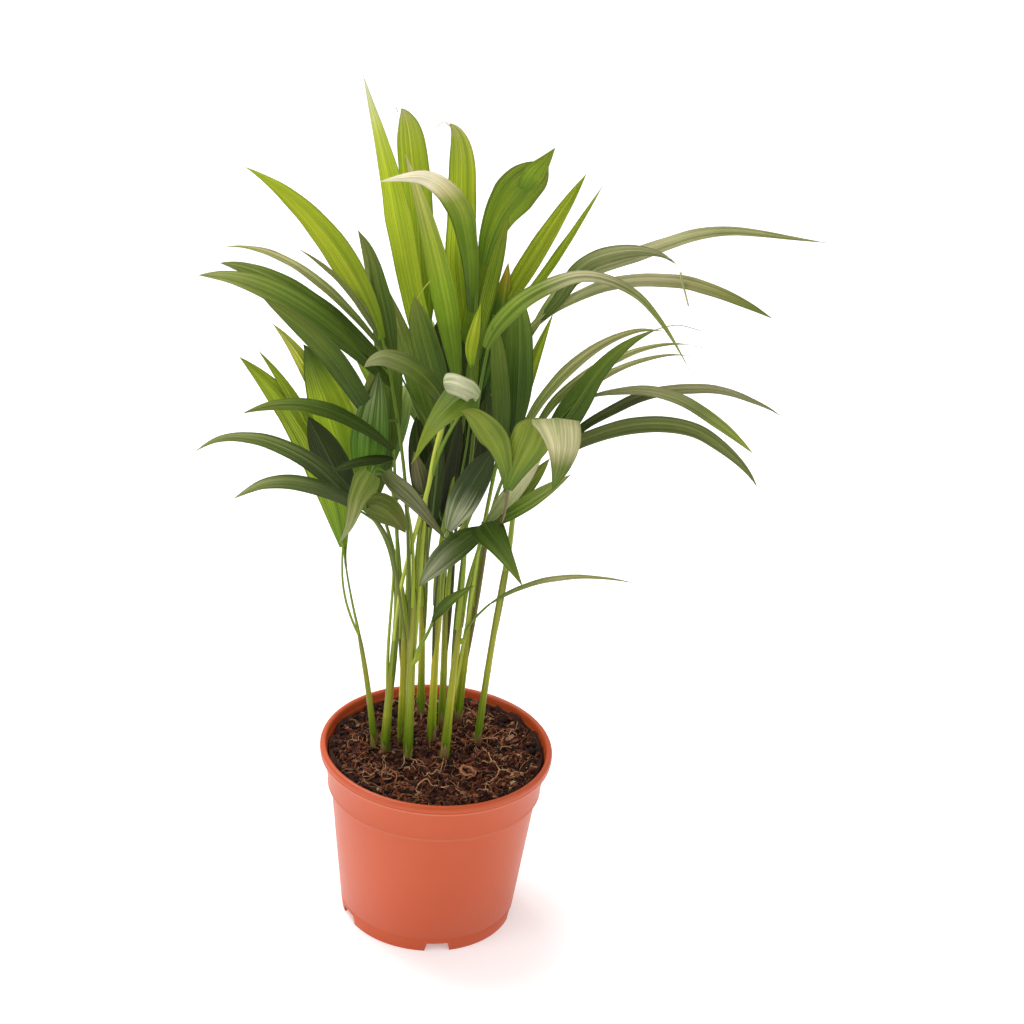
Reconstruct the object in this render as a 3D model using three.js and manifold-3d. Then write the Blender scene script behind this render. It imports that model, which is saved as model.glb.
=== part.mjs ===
// A young areca palm in its nursery pot: ten slender stems in one clump, each with petioles that carry
// split or feathered fronds, standing in dark potting soil in a plain round plastic pot.
// Millimetres, +Z up, +X to the right and +Y away from the viewer. The pot's foot stands on z = 0.
import * as THREE from "three";
import Module from "manifold-3d";

const wasm = await Module();
wasm.setup();

// Clearance between neighbouring solids, and the shortest edge that is kept where pieces are fused
const GAP = 0.3;
const SHORTEST_EDGE = 0.03;

// Pot, a nursery pot of 120 mm across the rim
const POT_HEIGHT = 98.5;
const RIM_RADIUS = 60;
const LIP_HEIGHT = 5;
const LIP_EDGE = 0.9;
const COLLAR_TOP_RADIUS = 57.6;
const COLLAR_FOOT_RADIUS = 55;
const COLLAR_HEIGHT = 18.5;
const COLLAR_STEP = 0.8;
const WALL_TOP_RADIUS = 53.6;
const FOOT_RADIUS = 45;
const WALL_THICKNESS = 1.4;
const FOOT_RING_THICKNESS = 2.2;
const FOOT_RING_HEIGHT = 5;
const FLOOR_THICKNESS = 1.6;
const NOTCH_COUNT = 5;
const NOTCH_WIDTH = 15;
const NOTCH_TOP_WIDTH = 11;
const NOTCH_FIRST = -81;
const POT_SIDES = 72;

// Soil
const SOIL_TOP = 92;
const SOIL_LUMP = 2.2;
const SOIL_FLAT = 9;
const SOIL_SIDES = 40;
const SOIL_RINGS = 8;
const SOIL_WALL_GAP = 2 * GAP;

// Stems and petioles
const STEM_SIDES = 7;
const FLARE_HEIGHT = 9;
const FLARE_GROWTH = 1.35;
const STEM_STATIONS = [0.35, 0.68, 1];
const STEM_LEAN = 0.35;
const PETIOLE_SIDES = 5;
const PETIOLE_FOOT = 1.15;
const PETIOLE_TIP = 0.75;
const PETIOLE_RINGS = 6;
const PETIOLE_RISE = 0.45;
const SEAT_OFFSET = 1.6;

// Blades
const BLADE_ROOT_SHARE = 0.36;
const BLADE_PEAK = 0.38;
const BLADE_FOLD = 0.16;
const LEAST_THICKNESS = 0.9;
const THICKNESS_SHARE = 1 / 90;
const BLADE_STATIONS = [0, 0.14, 0.32, 0.52, 0.72, 0.88];

// Where the viewer stands. A place on the plant is written as it shows from there: right and up say
// where its line of sight crosses the upright plane through the pot's axis, and behind says how far
// past that plane the place lies.
const VIEWER = new THREE.Vector3(0, -1096, 788);

// Each stem: its foot on the soil (x, y), its tip (right, up, behind) and its radii at foot and tip
const STEMS = [
  { name: "stem_1", foot: [-32, 3], tip: [-43, 162, 0], radii: [2.5, 1.9] },
  { name: "stem_2", foot: [-26.5, -2], tip: [-25, 147, 0], radii: [2.7, 2.2] },
  { name: "stem_3", foot: [-18.5, 9], tip: [-20, 168, 12], radii: [2.3, 1.9] },
  { name: "stem_4", foot: [-14.5, -6], tip: [-16, 187, -8], radii: [2.8, 2.1] },
  { name: "stem_5", foot: [-9.5, 36], tip: [-12, 188, 36], radii: [2.3, 1.9] },
  { name: "stem_6", foot: [-3, 11], tip: [-4, 188, 12], radii: [2.5, 2.0] },
  { name: "stem_7", foot: [2, 24], tip: [0, 189, 24], radii: [2.3, 1.9] },
  { name: "stem_8", foot: [4.5, -4.5], tip: [8, 176, -4], radii: [2.6, 2.0] },
  { name: "stem_9", foot: [10, 30], tip: [14, 190, 28], radii: [2.6, 2.0] },
  { name: "stem_10", foot: [21, 11], tip: [29, 208, 10], radii: [2.2, 1.7] },
];

// Each frond: the stem that carries it, the bend and the end of its rib (right, up, behind), which way
// its upper faces look (behind, up), and its leaflets. A leaflet is the share of the rib where it
// grows, its tip (right, up, behind), how far its middle bows (right, up), its width, and how blunt it
// is. A petiole that leaves the side of its stem says at which share of the stem, and which way.
const FRONDS = [
  {
    name: "frond_tall",
    stem: "stem_5",
    bend: [-8, 245, 36],
    end: [-1, 300, 22],
    face: [-0.9, 0.6],
    leaflets: [
      [0.93, -53, 451, 20, 1, 1, 17, 1.6],
      [1.0, -32, 415, 30, 6, 4, 12, 1.9],
      [0.86, -32.5, 436, 48, 2, 12, 15, 5],
    ],
  },
  {
    name: "frond_high",
    stem: "stem_6",
    bend: [10, 290, 36],
    end: [4, 370, 32],
    face: [-0.9, 0.6],
    leaflets: [
      [0.86, -43, 401, 4, 24, 46, 13, 1.4],
      [0.76, 36, 422, 34, -15, 22, 20, 3.4],
      [0.58, -10, 430, 66, 4, 8, 14, 5],
      [0.62, 8, 344, 14, 0, 0, 5, 2],
    ],
  },
  {
    name: "frond_right_rear",
    stem: "stem_7",
    bend: [8, 265, 44],
    end: [14, 338, 46],
    face: [-0.8, 0.7],
    leaflets: [
      [0.98, 52, 411, 52, -1, 1, 10, 2.2],
      [0.92, 60, 406, 68, 2, -3, 5, 2],
      [0.74, 19, 365, 48, 3, 0, 13, 2.4],
    ],
  },
  {
    name: "frond_right_long",
    stem: "stem_9",
    bend: [20, 270, 28],
    end: [32, 329, 22],
    face: [-0.5, 0.9],
    leaflets: [
      [1.0, 167, 386, 30, -20, 48, 9, 2],
      [0.97, 97, 369, 12, -16, 42, 12, 1.8],
      [0.94, 145, 346, 0, -6, 64, 7.5, 2.2],
    ],
  },
  {
    name: "frond_right_arch",
    stem: "stem_8",
    bend: [4, 270, -10],
    end: [14, 332, -14],
    face: [-0.6, 0.8],
    leaflets: [[1.0, 109, 316, -42, 0, 77, 8.5, 2.2]],
  },
  {
    name: "frond_centre_dark",
    stem: "stem_6",
    bend: [10, 232, 8],
    end: [28, 276, 8],
    face: [-0.95, 0.3],
    leaflets: [
      [1.0, 24, 352, 12, 3, 4, 15, 3],
      [0.9, 14, 337, -2, 2, 4, 9, 2.5],
      [0.96, 42, 341, 20, -4, -3, 7, 2],
    ],
  },
  {
    name: "frond_right_middle",
    stem: "stem_10",
    bend: [24, 292, 12],
    end: [50, 273, 4],
    face: [-0.6, 0.8],
    leaflets: [
      [0.6, 112, 337, 24, -18, 34, 8, 2],
      [0.66, 109, 329, 40, -1, 36, 5.5, 2],
      [0.74, 109, 324, 54, -9, 32, 5, 2],
      [0.86, 92, 337, 2, -6, 8, 17, 2],
      [0.94, 144, 275, -8, 4, 58, 8, 2.2],
      [0.97, 156, 295, 22, 2, 45, 8, 2],
      [1.0, 148, 257, -24, 0, 47, 11, 2.2],
    ],
  },
  {
    name: "frond_front",
    stem: "stem_9",
    bend: [23, 254, -2],
    end: [27, 259, -48],
    face: [-0.2, 1],
    leaflets: [
      [0.86, 1, 287, -74, 10, 25, 16, 4],
      [1.0, 48, 247, -84, 12, 56, 19, 2.2],
    ],
  },
  {
    name: "frond_front_upper",
    stem: "stem_4",
    bend: [-14, 264, -24],
    end: [7, 295, -32],
    face: [-0.2, 1],
    leaflets: [
      [1.0, -47, 308, -46, -4, 16, 17, 3],
      [1.0, -21, 258, -70, -3, 10, 17, 2.2],
      [0.98, -8, 309, -36, 6, 6, 13, 4],
    ],
  },
  {
    name: "frond_left_upper",
    stem: "stem_3",
    bend: [-18, 240, 14],
    end: [-38, 322, 2],
    face: [-0.6, 0.8],
    leaflets: [
      [1.0, -105, 403, 12, 9, 22, 17, 2.4],
      [0.97, -114, 363, 30, -5, 31, 6.5, 2.2],
      [0.98, -80, 365, -4, 6, 10, 3.5, 2],
      [0.94, -116, 355, 8, -10, 24, 12, 2.2],
      [0.9, -126, 348, -14, -6, 32, 13, 2.2],
      [0.78, -96, 339, -34, 0, 8, 13, 2.2],
    ],
  },
  {
    name: "frond_left_split",
    stem: "stem_1",
    bend: [-49, 185, -2],
    end: [-53, 214, -6],
    face: [-0.9, 0.5],
    leaflets: [
      [1.0, -90, 326, 8, 23, 11, 23, 2.4],
      [0.94, -106, 308, -16, 16, 14, 16, 2.2],
      [0.94, -97, 312, -14, 12, 12, 8, 2.2],
    ],
  },
  {
    name: "frond_left_striped",
    stem: "stem_3",
    bend: [-28, 212, 22],
    end: [-38, 243, 24],
    face: [-0.9, 0.5],
    leaflets: [
      [1.0, -42, 306, 16, 0, 0, 16, 3],
      [0.96, -52, 376, 36, 20, 6, 13, 2.4],
    ],
  },
  {
    name: "frond_left_middle",
    stem: "stem_2",
    bend: [-25, 215, -10],
    end: [-30, 264, -16],
    face: [-0.5, 0.9],
    leaflets: [
      [1.0, -104, 278, -36, 0, 26, 9, 2.2],
      [0.97, -60, 250, -42, 0, 4, 6, 2.2],
    ],
  },
  {
    name: "frond_left_dark",
    stem: "stem_2",
    bend: [-23, 220, 0],
    end: [-50, 236, -18],
    face: [-0.9, 0.5],
    leaflets: [
      [1.0, -72, 279, -20, 0, 0, 16, 2.4],
      [0.94, -22, 219, -30, 3, 10, 14, 2.2],
    ],
  },
  {
    name: "frond_left_low",
    stem: "stem_4",
    bend: [-26, 268, -32],
    end: [-48, 243, -42],
    face: [-0.4, 0.9],
    leaflets: [
      [1.0, -126, 256, -52, 1, 34, 10, 2.2],
      [0.96, -108, 232, -64, -2, 8, 10, 2.2],
      [0.76, -55, 210, -66, 0, 13, 12, 2],
      [0.7, -1, 217, -62, 0, 8, 10, 2],
    ],
  },
  {
    name: "frond_centre_left",
    stem: "stem_5",
    bend: [-12, 235, 8],
    end: [-5, 290, -7],
    face: [-0.9, 0.5],
    leaflets: [
      [1.0, -39, 372, 12, 4, 14, 14, 2.2],
      [0.97, -24, 345, -8, -4, 6, 14, 2.4],
      [0.84, -37, 348, 34, 0, 0, 11, 2.2],
    ],
  },
  {
    name: "frond_centre_back",
    stem: "stem_7",
    bend: [2, 208, 20],
    end: [3, 226, 24],
    face: [-0.95, 0.3],
    leaflets: [
      [1.0, -18, 306, 22, 0, 0, 10, 3],
      [0.97, 14, 298, 26, 4, 0, 14, 3],
    ],
  },
  {
    name: "frond_low_silver",
    stem: "stem_6",
    bend: [-4, 208, -4],
    end: [-1, 222, -16],
    face: [-0.9, 0.5],
    leaflets: [[1.0, 19, 268, -28, -1, 3, 17, 2.6]],
  },
  {
    name: "frond_low_centre",
    stem: "stem_8",
    bend: [15, 214, -4],
    end: [17.5, 227, -11],
    face: [-0.7, 0.7],
    leaflets: [
      [0.94, -14, 189, -44, -3, 6, 14, 2.2],
      [0.94, 39, 192, -54, -2, 9, 13, 2],
      [1.0, 43, 270, -16, 1, -1, 9, 2.2],
      [1.0, 46, 265, 4, 3, 0, 9, 2.2],
      [0.96, 57, 257, -28, 0, -1, 8, 2.2],
    ],
  },
  {
    name: "leaf_low_dark",
    stem: "stem_4",
    side: [0.62, -50],
    bend: [-8, 160, -14],
    end: [-6, 170, -18],
    face: [-0.7, 0.7],
    leaflets: [[1.0, 14, 192, -22, -4, 3, 5.5, 2]],
  },
  {
    name: "leaf_low_thin",
    stem: "stem_8",
    side: [0.84, -20],
    bend: [13, 172, -6],
    end: [22, 182, -8],
    face: [-0.6, 0.8],
    leaflets: [[1.0, 94, 199, -14, -8, 17, 3, 2]],
  },
  {
    name: "frond_rear_left",
    stem: "stem_3",
    bend: [-28, 230, 40],
    end: [-35, 285, 64],
    face: [0, 1],
    leaflets: [
      [1.0, -58, 318, 104, 0, 25, 11, 2.2],
      [0.95, -38, 330, 126, 0, 25, 12, 2.2],
      [0.85, -66, 292, 96, 0, 20, 11, 2.2],
      [0.8, -24, 300, 120, 0, 20, 11, 2.2],
    ],
  },
  {
    name: "frond_rear_middle",
    stem: "stem_5",
    bend: [-12, 240, 54],
    end: [-12, 290, 78],
    face: [0, 1],
    leaflets: [
      [1.0, -20, 338, 150, 0, 20, 12, 2.2],
      [0.96, 0, 330, 152, 0, 20, 12, 2.2],
      [0.85, -28, 290, 140, 0, 20, 11, 2.2],
      [0.8, 8, 292, 138, 0, 20, 11, 2.2],
    ],
  },
  {
    name: "frond_rear_right",
    stem: "stem_7",
    bend: [14, 235, 50],
    end: [20, 285, 74],
    face: [0, 1],
    leaflets: [
      [1.0, 26, 330, 134, 0, 20, 12, 2.2],
      [0.95, 14, 318, 150, 0, 20, 11, 2.2],
      [0.85, 36, 284, 122, 0, 20, 11, 2.2],
      [0.8, 22, 262, 136, 0, 20, 11, 2.2],
    ],
  },
];

// A place written as it shows from where the viewer stands, as a point of the part
function seen(right, up, behind) {
  const share = (behind - VIEWER.y) / -VIEWER.y;
  return new THREE.Vector3(right, 0, up).sub(VIEWER).multiplyScalar(share).add(VIEWER);
}

// A closed solid from rings of points, all of one count and each turning the same way, that ends in a
// flat face or in a point at either end
function loft(rings, point) {
  const count = rings[0].length;
  const vertices = rings.flat();
  const faces = [];
  const at = (ring, i) => ring * count + (i % count);
  for (let ring = 0; ring + 1 < rings.length; ring++) {
    for (let i = 0; i < count; i++) {
      faces.push([at(ring, i), at(ring, i + 1), at(ring + 1, i + 1)]);
      faces.push([at(ring, i), at(ring + 1, i + 1), at(ring + 1, i)]);
    }
  }
  for (let i = 1; i + 1 < count; i++) faces.push([at(0, 0), at(0, i + 1), at(0, i)]);
  const last = rings.length - 1;
  if (point) {
    vertices.push(point);
    for (let i = 0; i < count; i++) faces.push([at(last, i), at(last, i + 1), vertices.length - 1]);
  } else {
    for (let i = 1; i + 1 < count; i++) faces.push([at(last, 0), at(last, i), at(last, i + 1)]);
  }
  return solid(vertices, faces);
}

function solid(vertices, faces) {
  const mesh = new wasm.Mesh({
    numProp: 3,
    vertProperties: new Float32Array(vertices.flatMap((v) => [v.x, v.y, v.z])),
    triVerts: new Uint32Array(faces.flat()),
  });
  return new wasm.Manifold(mesh);
}

// A ring of points round a centre, in the plane across the given direction
function ringAcross(centre, direction, radius, sides) {
  const side = new THREE.Vector3(0, -1, 0).cross(direction).normalize();
  const front = new THREE.Vector3().crossVectors(direction, side);
  return Array.from({ length: sides }, (_, i) => {
    const angle = (2 * Math.PI * i) / sides;
    const out = side.clone().multiplyScalar(Math.cos(angle)).addScaledVector(front, Math.sin(angle));
    return centre.clone().addScaledVector(out, radius);
  });
}

// A round limb along a curve, from one radius to the other
function limb(curve, steps, sides, radiusAt) {
  const rings = [];
  for (let i = 0; i <= steps; i++) {
    const t = i / steps;
    rings.push(ringAcross(curve.getPoint(t), curve.getTangent(t), radiusAt(t), sides));
  }
  return loft(rings);
}

// A stem: flared at the soil, where it is cut flat, and leaning a little as it rises
function stemCurve({ foot, tip }) {
  const start = new THREE.Vector3(foot[0], foot[1], SOIL_TOP + GAP);
  const end = seen(...tip);
  const middle = start.clone().lerp(end, 0.5);
  middle.x = THREE.MathUtils.lerp(start.x, end.x, STEM_LEAN);
  middle.y = THREE.MathUtils.lerp(start.y, end.y, STEM_LEAN);
  return new THREE.QuadraticBezierCurve3(start, middle, end);
}

function makeStem(row) {
  const curve = stemCurve(row);
  const [footRadius, tipRadius] = row.radii;
  const height = curve.getLength();
  const rings = [];
  for (const t of [0, (0.5 * FLARE_HEIGHT) / height, FLARE_HEIGHT / height, ...STEM_STATIONS]) {
    const plain = THREE.MathUtils.lerp(footRadius, tipRadius, t);
    const flare = Math.max(0, 1 - (t * height) / FLARE_HEIGHT) ** 2;
    const radius = plain * (1 + (FLARE_GROWTH - 1) * flare);
    const direction = t === 0 ? new THREE.Vector3(0, 0, 1) : curve.getTangent(t);
    rings.push(ringAcross(curve.getPoint(t), direction, radius, STEM_SIDES));
  }
  return loft(rings);
}

// Where each petiole of a stem sits: side by side on the stem's flat tip, each on the side it bends to
function petioleSeats(stem, fronds) {
  const curve = stemCurve(stem);
  const tip = curve.getPoint(1);
  const up = curve.getTangent(1);
  const seats = new Map();
  for (const { name, side } of fronds.filter((frond) => frond.side)) {
    const [share, turn] = side;
    const out = new THREE.Vector3(1, 0, 0).applyAxisAngle(new THREE.Vector3(0, 0, 1), (turn * Math.PI) / 180);
    const clear = THREE.MathUtils.lerp(stem.radii[0], stem.radii[1], share) + PETIOLE_FOOT + GAP;
    seats.set(name, curve.getPoint(share).addScaledVector(out, clear));
  }
  const topFronds = fronds.filter((frond) => !frond.side);
  const offset = topFronds.length > 1 ? SEAT_OFFSET : 0;
  const turned = topFronds
    .map((frond) => {
      const reach = seen(...frond.bend).sub(tip);
      return { frond, angle: Math.atan2(reach.y, reach.x) };
    })
    .sort((a, b) => a.angle - b.angle);
  turned.forEach(({ frond }, i) => {
    const angle = turned[0].angle + (2 * Math.PI * i) / turned.length;
    const out = new THREE.Vector3(Math.cos(angle), Math.sin(angle), 0);
    out.addScaledVector(up, -out.dot(up));
    seats.set(frond.name, tip.clone().addScaledVector(up, GAP).addScaledVector(out, offset));
  });
  return { seats, up };
}

function ribCurve(frond, seat, up) {
  const bend = seen(...frond.bend);
  const rise = seat.distanceTo(bend) * PETIOLE_RISE;
  return new THREE.CubicBezierCurve3(
    seat,
    seat.clone().addScaledVector(up, rise),
    bend,
    seen(...frond.end),
  );
}

// Half the width of a blade at a share of its length: narrow at its root, then wide, then a long point
function halfWidth(width, bluntness, t) {
  if (t < BLADE_PEAK) {
    const s = t / BLADE_PEAK;
    return (width / 2) * (BLADE_ROOT_SHARE + (1 - BLADE_ROOT_SHARE) * s * (2 - s));
  }
  const s = (t - BLADE_PEAK) / (1 - BLADE_PEAK);
  return (width / 2) * (1 - s ** bluntness);
}

// A blade: thickest along its middle, thin at its edges, and folded a little along the middle
function makeBlade(root, tip, bow, width, bluntness, face) {
  const middle = root.clone().lerp(tip, 0.5).add(bow);
  const curve = new THREE.QuadraticBezierCurve3(root, middle, tip);
  const half = Math.max(LEAST_THICKNESS, curve.getLength() * THICKNESS_SHARE) / 2;
  const rings = BLADE_STATIONS.map((t) => {
    const along = curve.getTangent(t);
    const up = face.clone().addScaledVector(along, -face.dot(along)).normalize();
    const across = new THREE.Vector3().crossVectors(along, up);
    const reach = halfWidth(width, bluntness, t);
    const centre = curve.getPoint(t);
    const low = centre.clone().addScaledVector(up, -BLADE_FOLD * reach);
    return [
      low.clone().addScaledVector(across, -reach),
      centre.clone().addScaledVector(up, half),
      low.clone().addScaledVector(across, reach),
      centre.clone().addScaledVector(up, -half),
    ];
  });
  return loft(rings, tip);
}

// A frond: its petiole and rib, with a leaflet sunk in the rib at each place its row names
function makeFrond(frond, seat, up) {
  const rib = ribCurve(frond, seat, up);
  const face = new THREE.Vector3(0, ...frond.face).normalize();
  const pieces = [
    limb(rib, PETIOLE_RINGS, PETIOLE_SIDES, (t) => THREE.MathUtils.lerp(PETIOLE_FOOT, PETIOLE_TIP, t)),
  ];
  for (const [at, right, height, behind, bowRight, bowUp, width, bluntness] of frond.leaflets) {
    const tip = seen(right, height, behind);
    const bow = new THREE.Vector3(bowRight, 0, bowUp);
    pieces.push(makeBlade(rib.getPoint(at), tip, bow, width, bluntness, face));
  }
  return wasm.Manifold.union(pieces).asOriginal().simplify(SHORTEST_EDGE);
}

const COLLAR_FOOT = POT_HEIGHT - LIP_HEIGHT - COLLAR_HEIGHT;
const FLOOR_TOP = FOOT_RING_HEIGHT + FLOOR_THICKNESS;

// The radius of the pot's inside at a height above its floor
function insideRadius(z) {
  if (z > COLLAR_FOOT) {
    const share = (z - COLLAR_FOOT) / COLLAR_HEIGHT;
    return THREE.MathUtils.lerp(COLLAR_FOOT_RADIUS, COLLAR_TOP_RADIUS, share) - WALL_THICKNESS;
  }
  return THREE.MathUtils.lerp(FOOT_RADIUS, WALL_TOP_RADIUS, z / COLLAR_FOOT) - WALL_THICKNESS;
}

// The pot's wall, collar, rolled lip, floor and foot ring in one outline, then the notches in the ring
function makePot() {
  const lipFoot = POT_HEIGHT - LIP_HEIGHT;
  const outline = [
    [FOOT_RADIUS, 0],
    [WALL_TOP_RADIUS, COLLAR_FOOT],
    [COLLAR_FOOT_RADIUS, COLLAR_FOOT + COLLAR_STEP],
    [COLLAR_TOP_RADIUS, lipFoot],
    [RIM_RADIUS - LIP_EDGE, lipFoot],
    [RIM_RADIUS, lipFoot + LIP_EDGE],
    [RIM_RADIUS, POT_HEIGHT - 1.4 * LIP_EDGE],
    [RIM_RADIUS - LIP_EDGE, POT_HEIGHT - 0.3 * LIP_EDGE],
    [RIM_RADIUS - 2 * LIP_EDGE, POT_HEIGHT],
    [insideRadius(lipFoot) + 0.5 * LIP_EDGE, POT_HEIGHT - LIP_EDGE],
    [insideRadius(lipFoot), lipFoot],
    [insideRadius(COLLAR_FOOT + COLLAR_STEP), COLLAR_FOOT + COLLAR_STEP],
    [insideRadius(COLLAR_FOOT), COLLAR_FOOT - COLLAR_STEP],
    [insideRadius(FLOOR_TOP), FLOOR_TOP],
    [0, FLOOR_TOP],
    [0, FOOT_RING_HEIGHT],
    [FOOT_RADIUS - FOOT_RING_THICKNESS, FOOT_RING_HEIGHT],
    [FOOT_RADIUS - FOOT_RING_THICKNESS, 0],
  ];
  const points = outline.map(([radius, z]) => new THREE.Vector2(radius, z));
  let pot = manifoldOf(new THREE.LatheGeometry([...points, points[0]], POT_SIDES).rotateX(Math.PI / 2));
  for (let i = 0; i < NOTCH_COUNT; i++) {
    const turn = NOTCH_FIRST + (360 * i) / NOTCH_COUNT;
    pot = pot.subtract(makeNotch(THREE.MathUtils.degToRad(turn)));
  }
  return pot;
}

function makeNotch(turn) {
  const depth = 4 * FOOT_RING_THICKNESS;
  const shape = new THREE.Shape();
  shape.moveTo(-NOTCH_WIDTH / 2, -FLOOR_THICKNESS);
  shape.lineTo(NOTCH_WIDTH / 2, -FLOOR_THICKNESS);
  shape.lineTo(NOTCH_TOP_WIDTH / 2, FOOT_RING_HEIGHT);
  shape.lineTo(-NOTCH_TOP_WIDTH / 2, FOOT_RING_HEIGHT);
  shape.closePath();
  const block = new THREE.ExtrudeGeometry(shape, { depth, bevelEnabled: false });
  block.rotateX(Math.PI / 2).translate(0, FOOT_RADIUS + depth / 2, 0).rotateZ(turn - Math.PI / 2);
  return manifoldOf(block);
}

// A three.js geometry as a manifold solid, its coincident vertices merged
function manifoldOf(geometry) {
  const position = (geometry.index ? geometry.toNonIndexed() : geometry).getAttribute("position");
  const keys = new Map();
  const vertices = [];
  const faces = [];
  for (let i = 0; i < position.count; i += 3) {
    const face = [0, 1, 2].map((k) => {
      const v = new THREE.Vector3().fromBufferAttribute(position, i + k);
      const key = [v.x, v.y, v.z].map((n) => Math.round(n * 1e4)).join();
      if (!keys.has(key)) {
        keys.set(key, vertices.length);
        vertices.push(v);
      }
      return keys.get(key);
    });
    if (new Set(face).size === 3) faces.push(face);
  }
  const made = solid(vertices, faces);
  return made.volume() < 0 ? solid(vertices, faces.map(([a, b, c]) => [a, c, b])) : made;
}

// How high the soil stands at a place: lumpy, and flat round each stem's foot
function soilHeight(x, y) {
  const waves = Math.sin(x * 0.31 + y * 0.17) + Math.sin(y * 0.37 - x * 0.11) + Math.sin((x + y) * 0.19);
  const nearest = Math.min(...STEMS.map(({ foot }) => Math.hypot(x - foot[0], y - foot[1])));
  const free = THREE.MathUtils.smoothstep(nearest, SOIL_FLAT, 2 * SOIL_FLAT);
  return SOIL_TOP + (SOIL_LUMP / 3) * waves * free;
}

function makeSoil() {
  const bend = 2 * COLLAR_STEP;
  const levels = [FLOOR_TOP + GAP, COLLAR_FOOT - bend, COLLAR_FOOT + bend, SOIL_TOP - SOIL_LUMP];
  const circle = (radius, heightAt) =>
    Array.from({ length: SOIL_SIDES }, (_, i) => {
      const angle = (2 * Math.PI * i) / SOIL_SIDES;
      const x = radius * Math.cos(angle);
      const y = radius * Math.sin(angle);
      return new THREE.Vector3(x, y, heightAt(x, y));
    });
  const inside = (z) => Math.min(insideRadius(z), insideRadius(z - COLLAR_STEP)) - SOIL_WALL_GAP;
  const rings = levels.map((z) => circle(inside(z), () => z));
  for (let k = 0; k < SOIL_RINGS; k++) {
    rings.push(circle((inside(SOIL_TOP) * (SOIL_RINGS - k)) / SOIL_RINGS, soilHeight));
  }
  return loft(rings, new THREE.Vector3(0, 0, soilHeight(0, 0)));
}

// Meshes and their materials
function meshOf(name, body, colour, roughness) {
  const { vertProperties, triVerts } = body.getMesh();
  const geometry = new THREE.BufferGeometry();
  geometry.setAttribute("position", new THREE.BufferAttribute(vertProperties, 3));
  geometry.setIndex(new THREE.BufferAttribute(triVerts, 1));
  const flat = geometry.toNonIndexed();
  flat.computeVertexNormals();
  const material = new THREE.MeshStandardMaterial({ color: colour, roughness, metalness: 0 });
  const mesh = new THREE.Mesh(flat, material);
  mesh.name = name;
  return mesh;
}

const POT_COLOUR = 0xcc6240;
const SOIL_COLOUR = 0x3a2218;
const STEM_COLOUR = 0x9aab3c;
const FROND_COLOUR = 0x5f8a20;

const plant = new THREE.Group();
plant.add(meshOf("pot", makePot(), POT_COLOUR, 0.5));
plant.add(meshOf("soil", makeSoil(), SOIL_COLOUR, 0.95));
for (const stem of STEMS) {
  plant.add(meshOf(stem.name, makeStem(stem), STEM_COLOUR, 0.5));
  const fronds = FRONDS.filter((frond) => frond.stem === stem.name);
  const { seats, up } = petioleSeats(stem, fronds);
  for (const frond of fronds) {
    plant.add(meshOf(frond.name, makeFrond(frond, seats.get(frond.name), up), FROND_COLOUR, 0.45));
  }
}

// The group is moved so that the middle of the whole plant's box stands over the origin
const box = new THREE.Box3().setFromObject(plant);
plant.position.set(-(box.min.x + box.max.x) / 2, -(box.min.y + box.max.y) / 2, 0);

export default plant;
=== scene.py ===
# %% [markdown]
# # A young areca palm in its nursery pot
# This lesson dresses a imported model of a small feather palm. The model gives every stem, frond and the
# pot as a coarse closed solid, and each step below puts a finer piece in the same place. Loading comes
# first, because every later size is read from, or written in, the frame of that model.

# %% Load the frame
import math

import bpy
import numpy as np
from mathutils import Matrix, Vector, noise


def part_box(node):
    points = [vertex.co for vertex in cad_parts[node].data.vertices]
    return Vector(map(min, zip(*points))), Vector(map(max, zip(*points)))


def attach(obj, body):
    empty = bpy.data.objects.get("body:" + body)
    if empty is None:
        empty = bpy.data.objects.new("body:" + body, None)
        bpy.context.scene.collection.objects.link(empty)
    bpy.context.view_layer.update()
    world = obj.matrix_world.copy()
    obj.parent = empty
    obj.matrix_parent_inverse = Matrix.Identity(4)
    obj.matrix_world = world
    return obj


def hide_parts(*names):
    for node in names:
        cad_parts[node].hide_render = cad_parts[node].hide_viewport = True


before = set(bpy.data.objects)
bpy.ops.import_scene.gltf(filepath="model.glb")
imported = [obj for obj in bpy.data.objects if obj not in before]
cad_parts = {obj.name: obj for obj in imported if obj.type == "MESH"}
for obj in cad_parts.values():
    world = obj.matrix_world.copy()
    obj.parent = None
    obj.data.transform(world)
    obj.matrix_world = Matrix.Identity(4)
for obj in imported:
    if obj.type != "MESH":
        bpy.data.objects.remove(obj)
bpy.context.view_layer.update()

POT_LOW, POT_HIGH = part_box("pot")
POT_AXIS = Vector(((POT_LOW.x + POT_HIGH.x) / 2, (POT_LOW.y + POT_HIGH.y) / 2, 0))
MM = 0.001
print("nodes", len(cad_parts), "pot axis at", [round(c, 4) for c in POT_AXIS])

# %% [markdown]
# ## Places on the plant
# All places are written in millimetres round the axis of the pot, as a gardener would measure them. One
# helper turns them into the metres of the frame. Places of leaves are easier to read off as they show
# from the front, so a second helper takes how far right, how far up and how far behind a point lies.

# %% Helpers for places
VIEWER = np.array([0.0, -1096.0, 788.0])


def in_frame(points):
    return np.asarray(points, float) * MM + np.array(POT_AXIS)


def seen(right, up, behind):
    share = (behind - VIEWER[1]) / -VIEWER[1]
    return VIEWER + share * (np.array([right, 0.0, up]) - VIEWER)


def unit(vectors):
    return vectors / np.linalg.norm(vectors, axis=-1, keepdims=True)


print("a leaf tip at right 100, up 300 stands at", seen(100, 300, 0).round(1))

# %% [markdown]
# ## Camera
# The plant is seen from a little above, as from a person who stands in front of a table. A long lens
# keeps the pot from looking stretched. The camera is placed by its distance, its height angle and a
# small tilt, so each number has a meaning, and its frame is taken to be 1024 pixels square.

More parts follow.
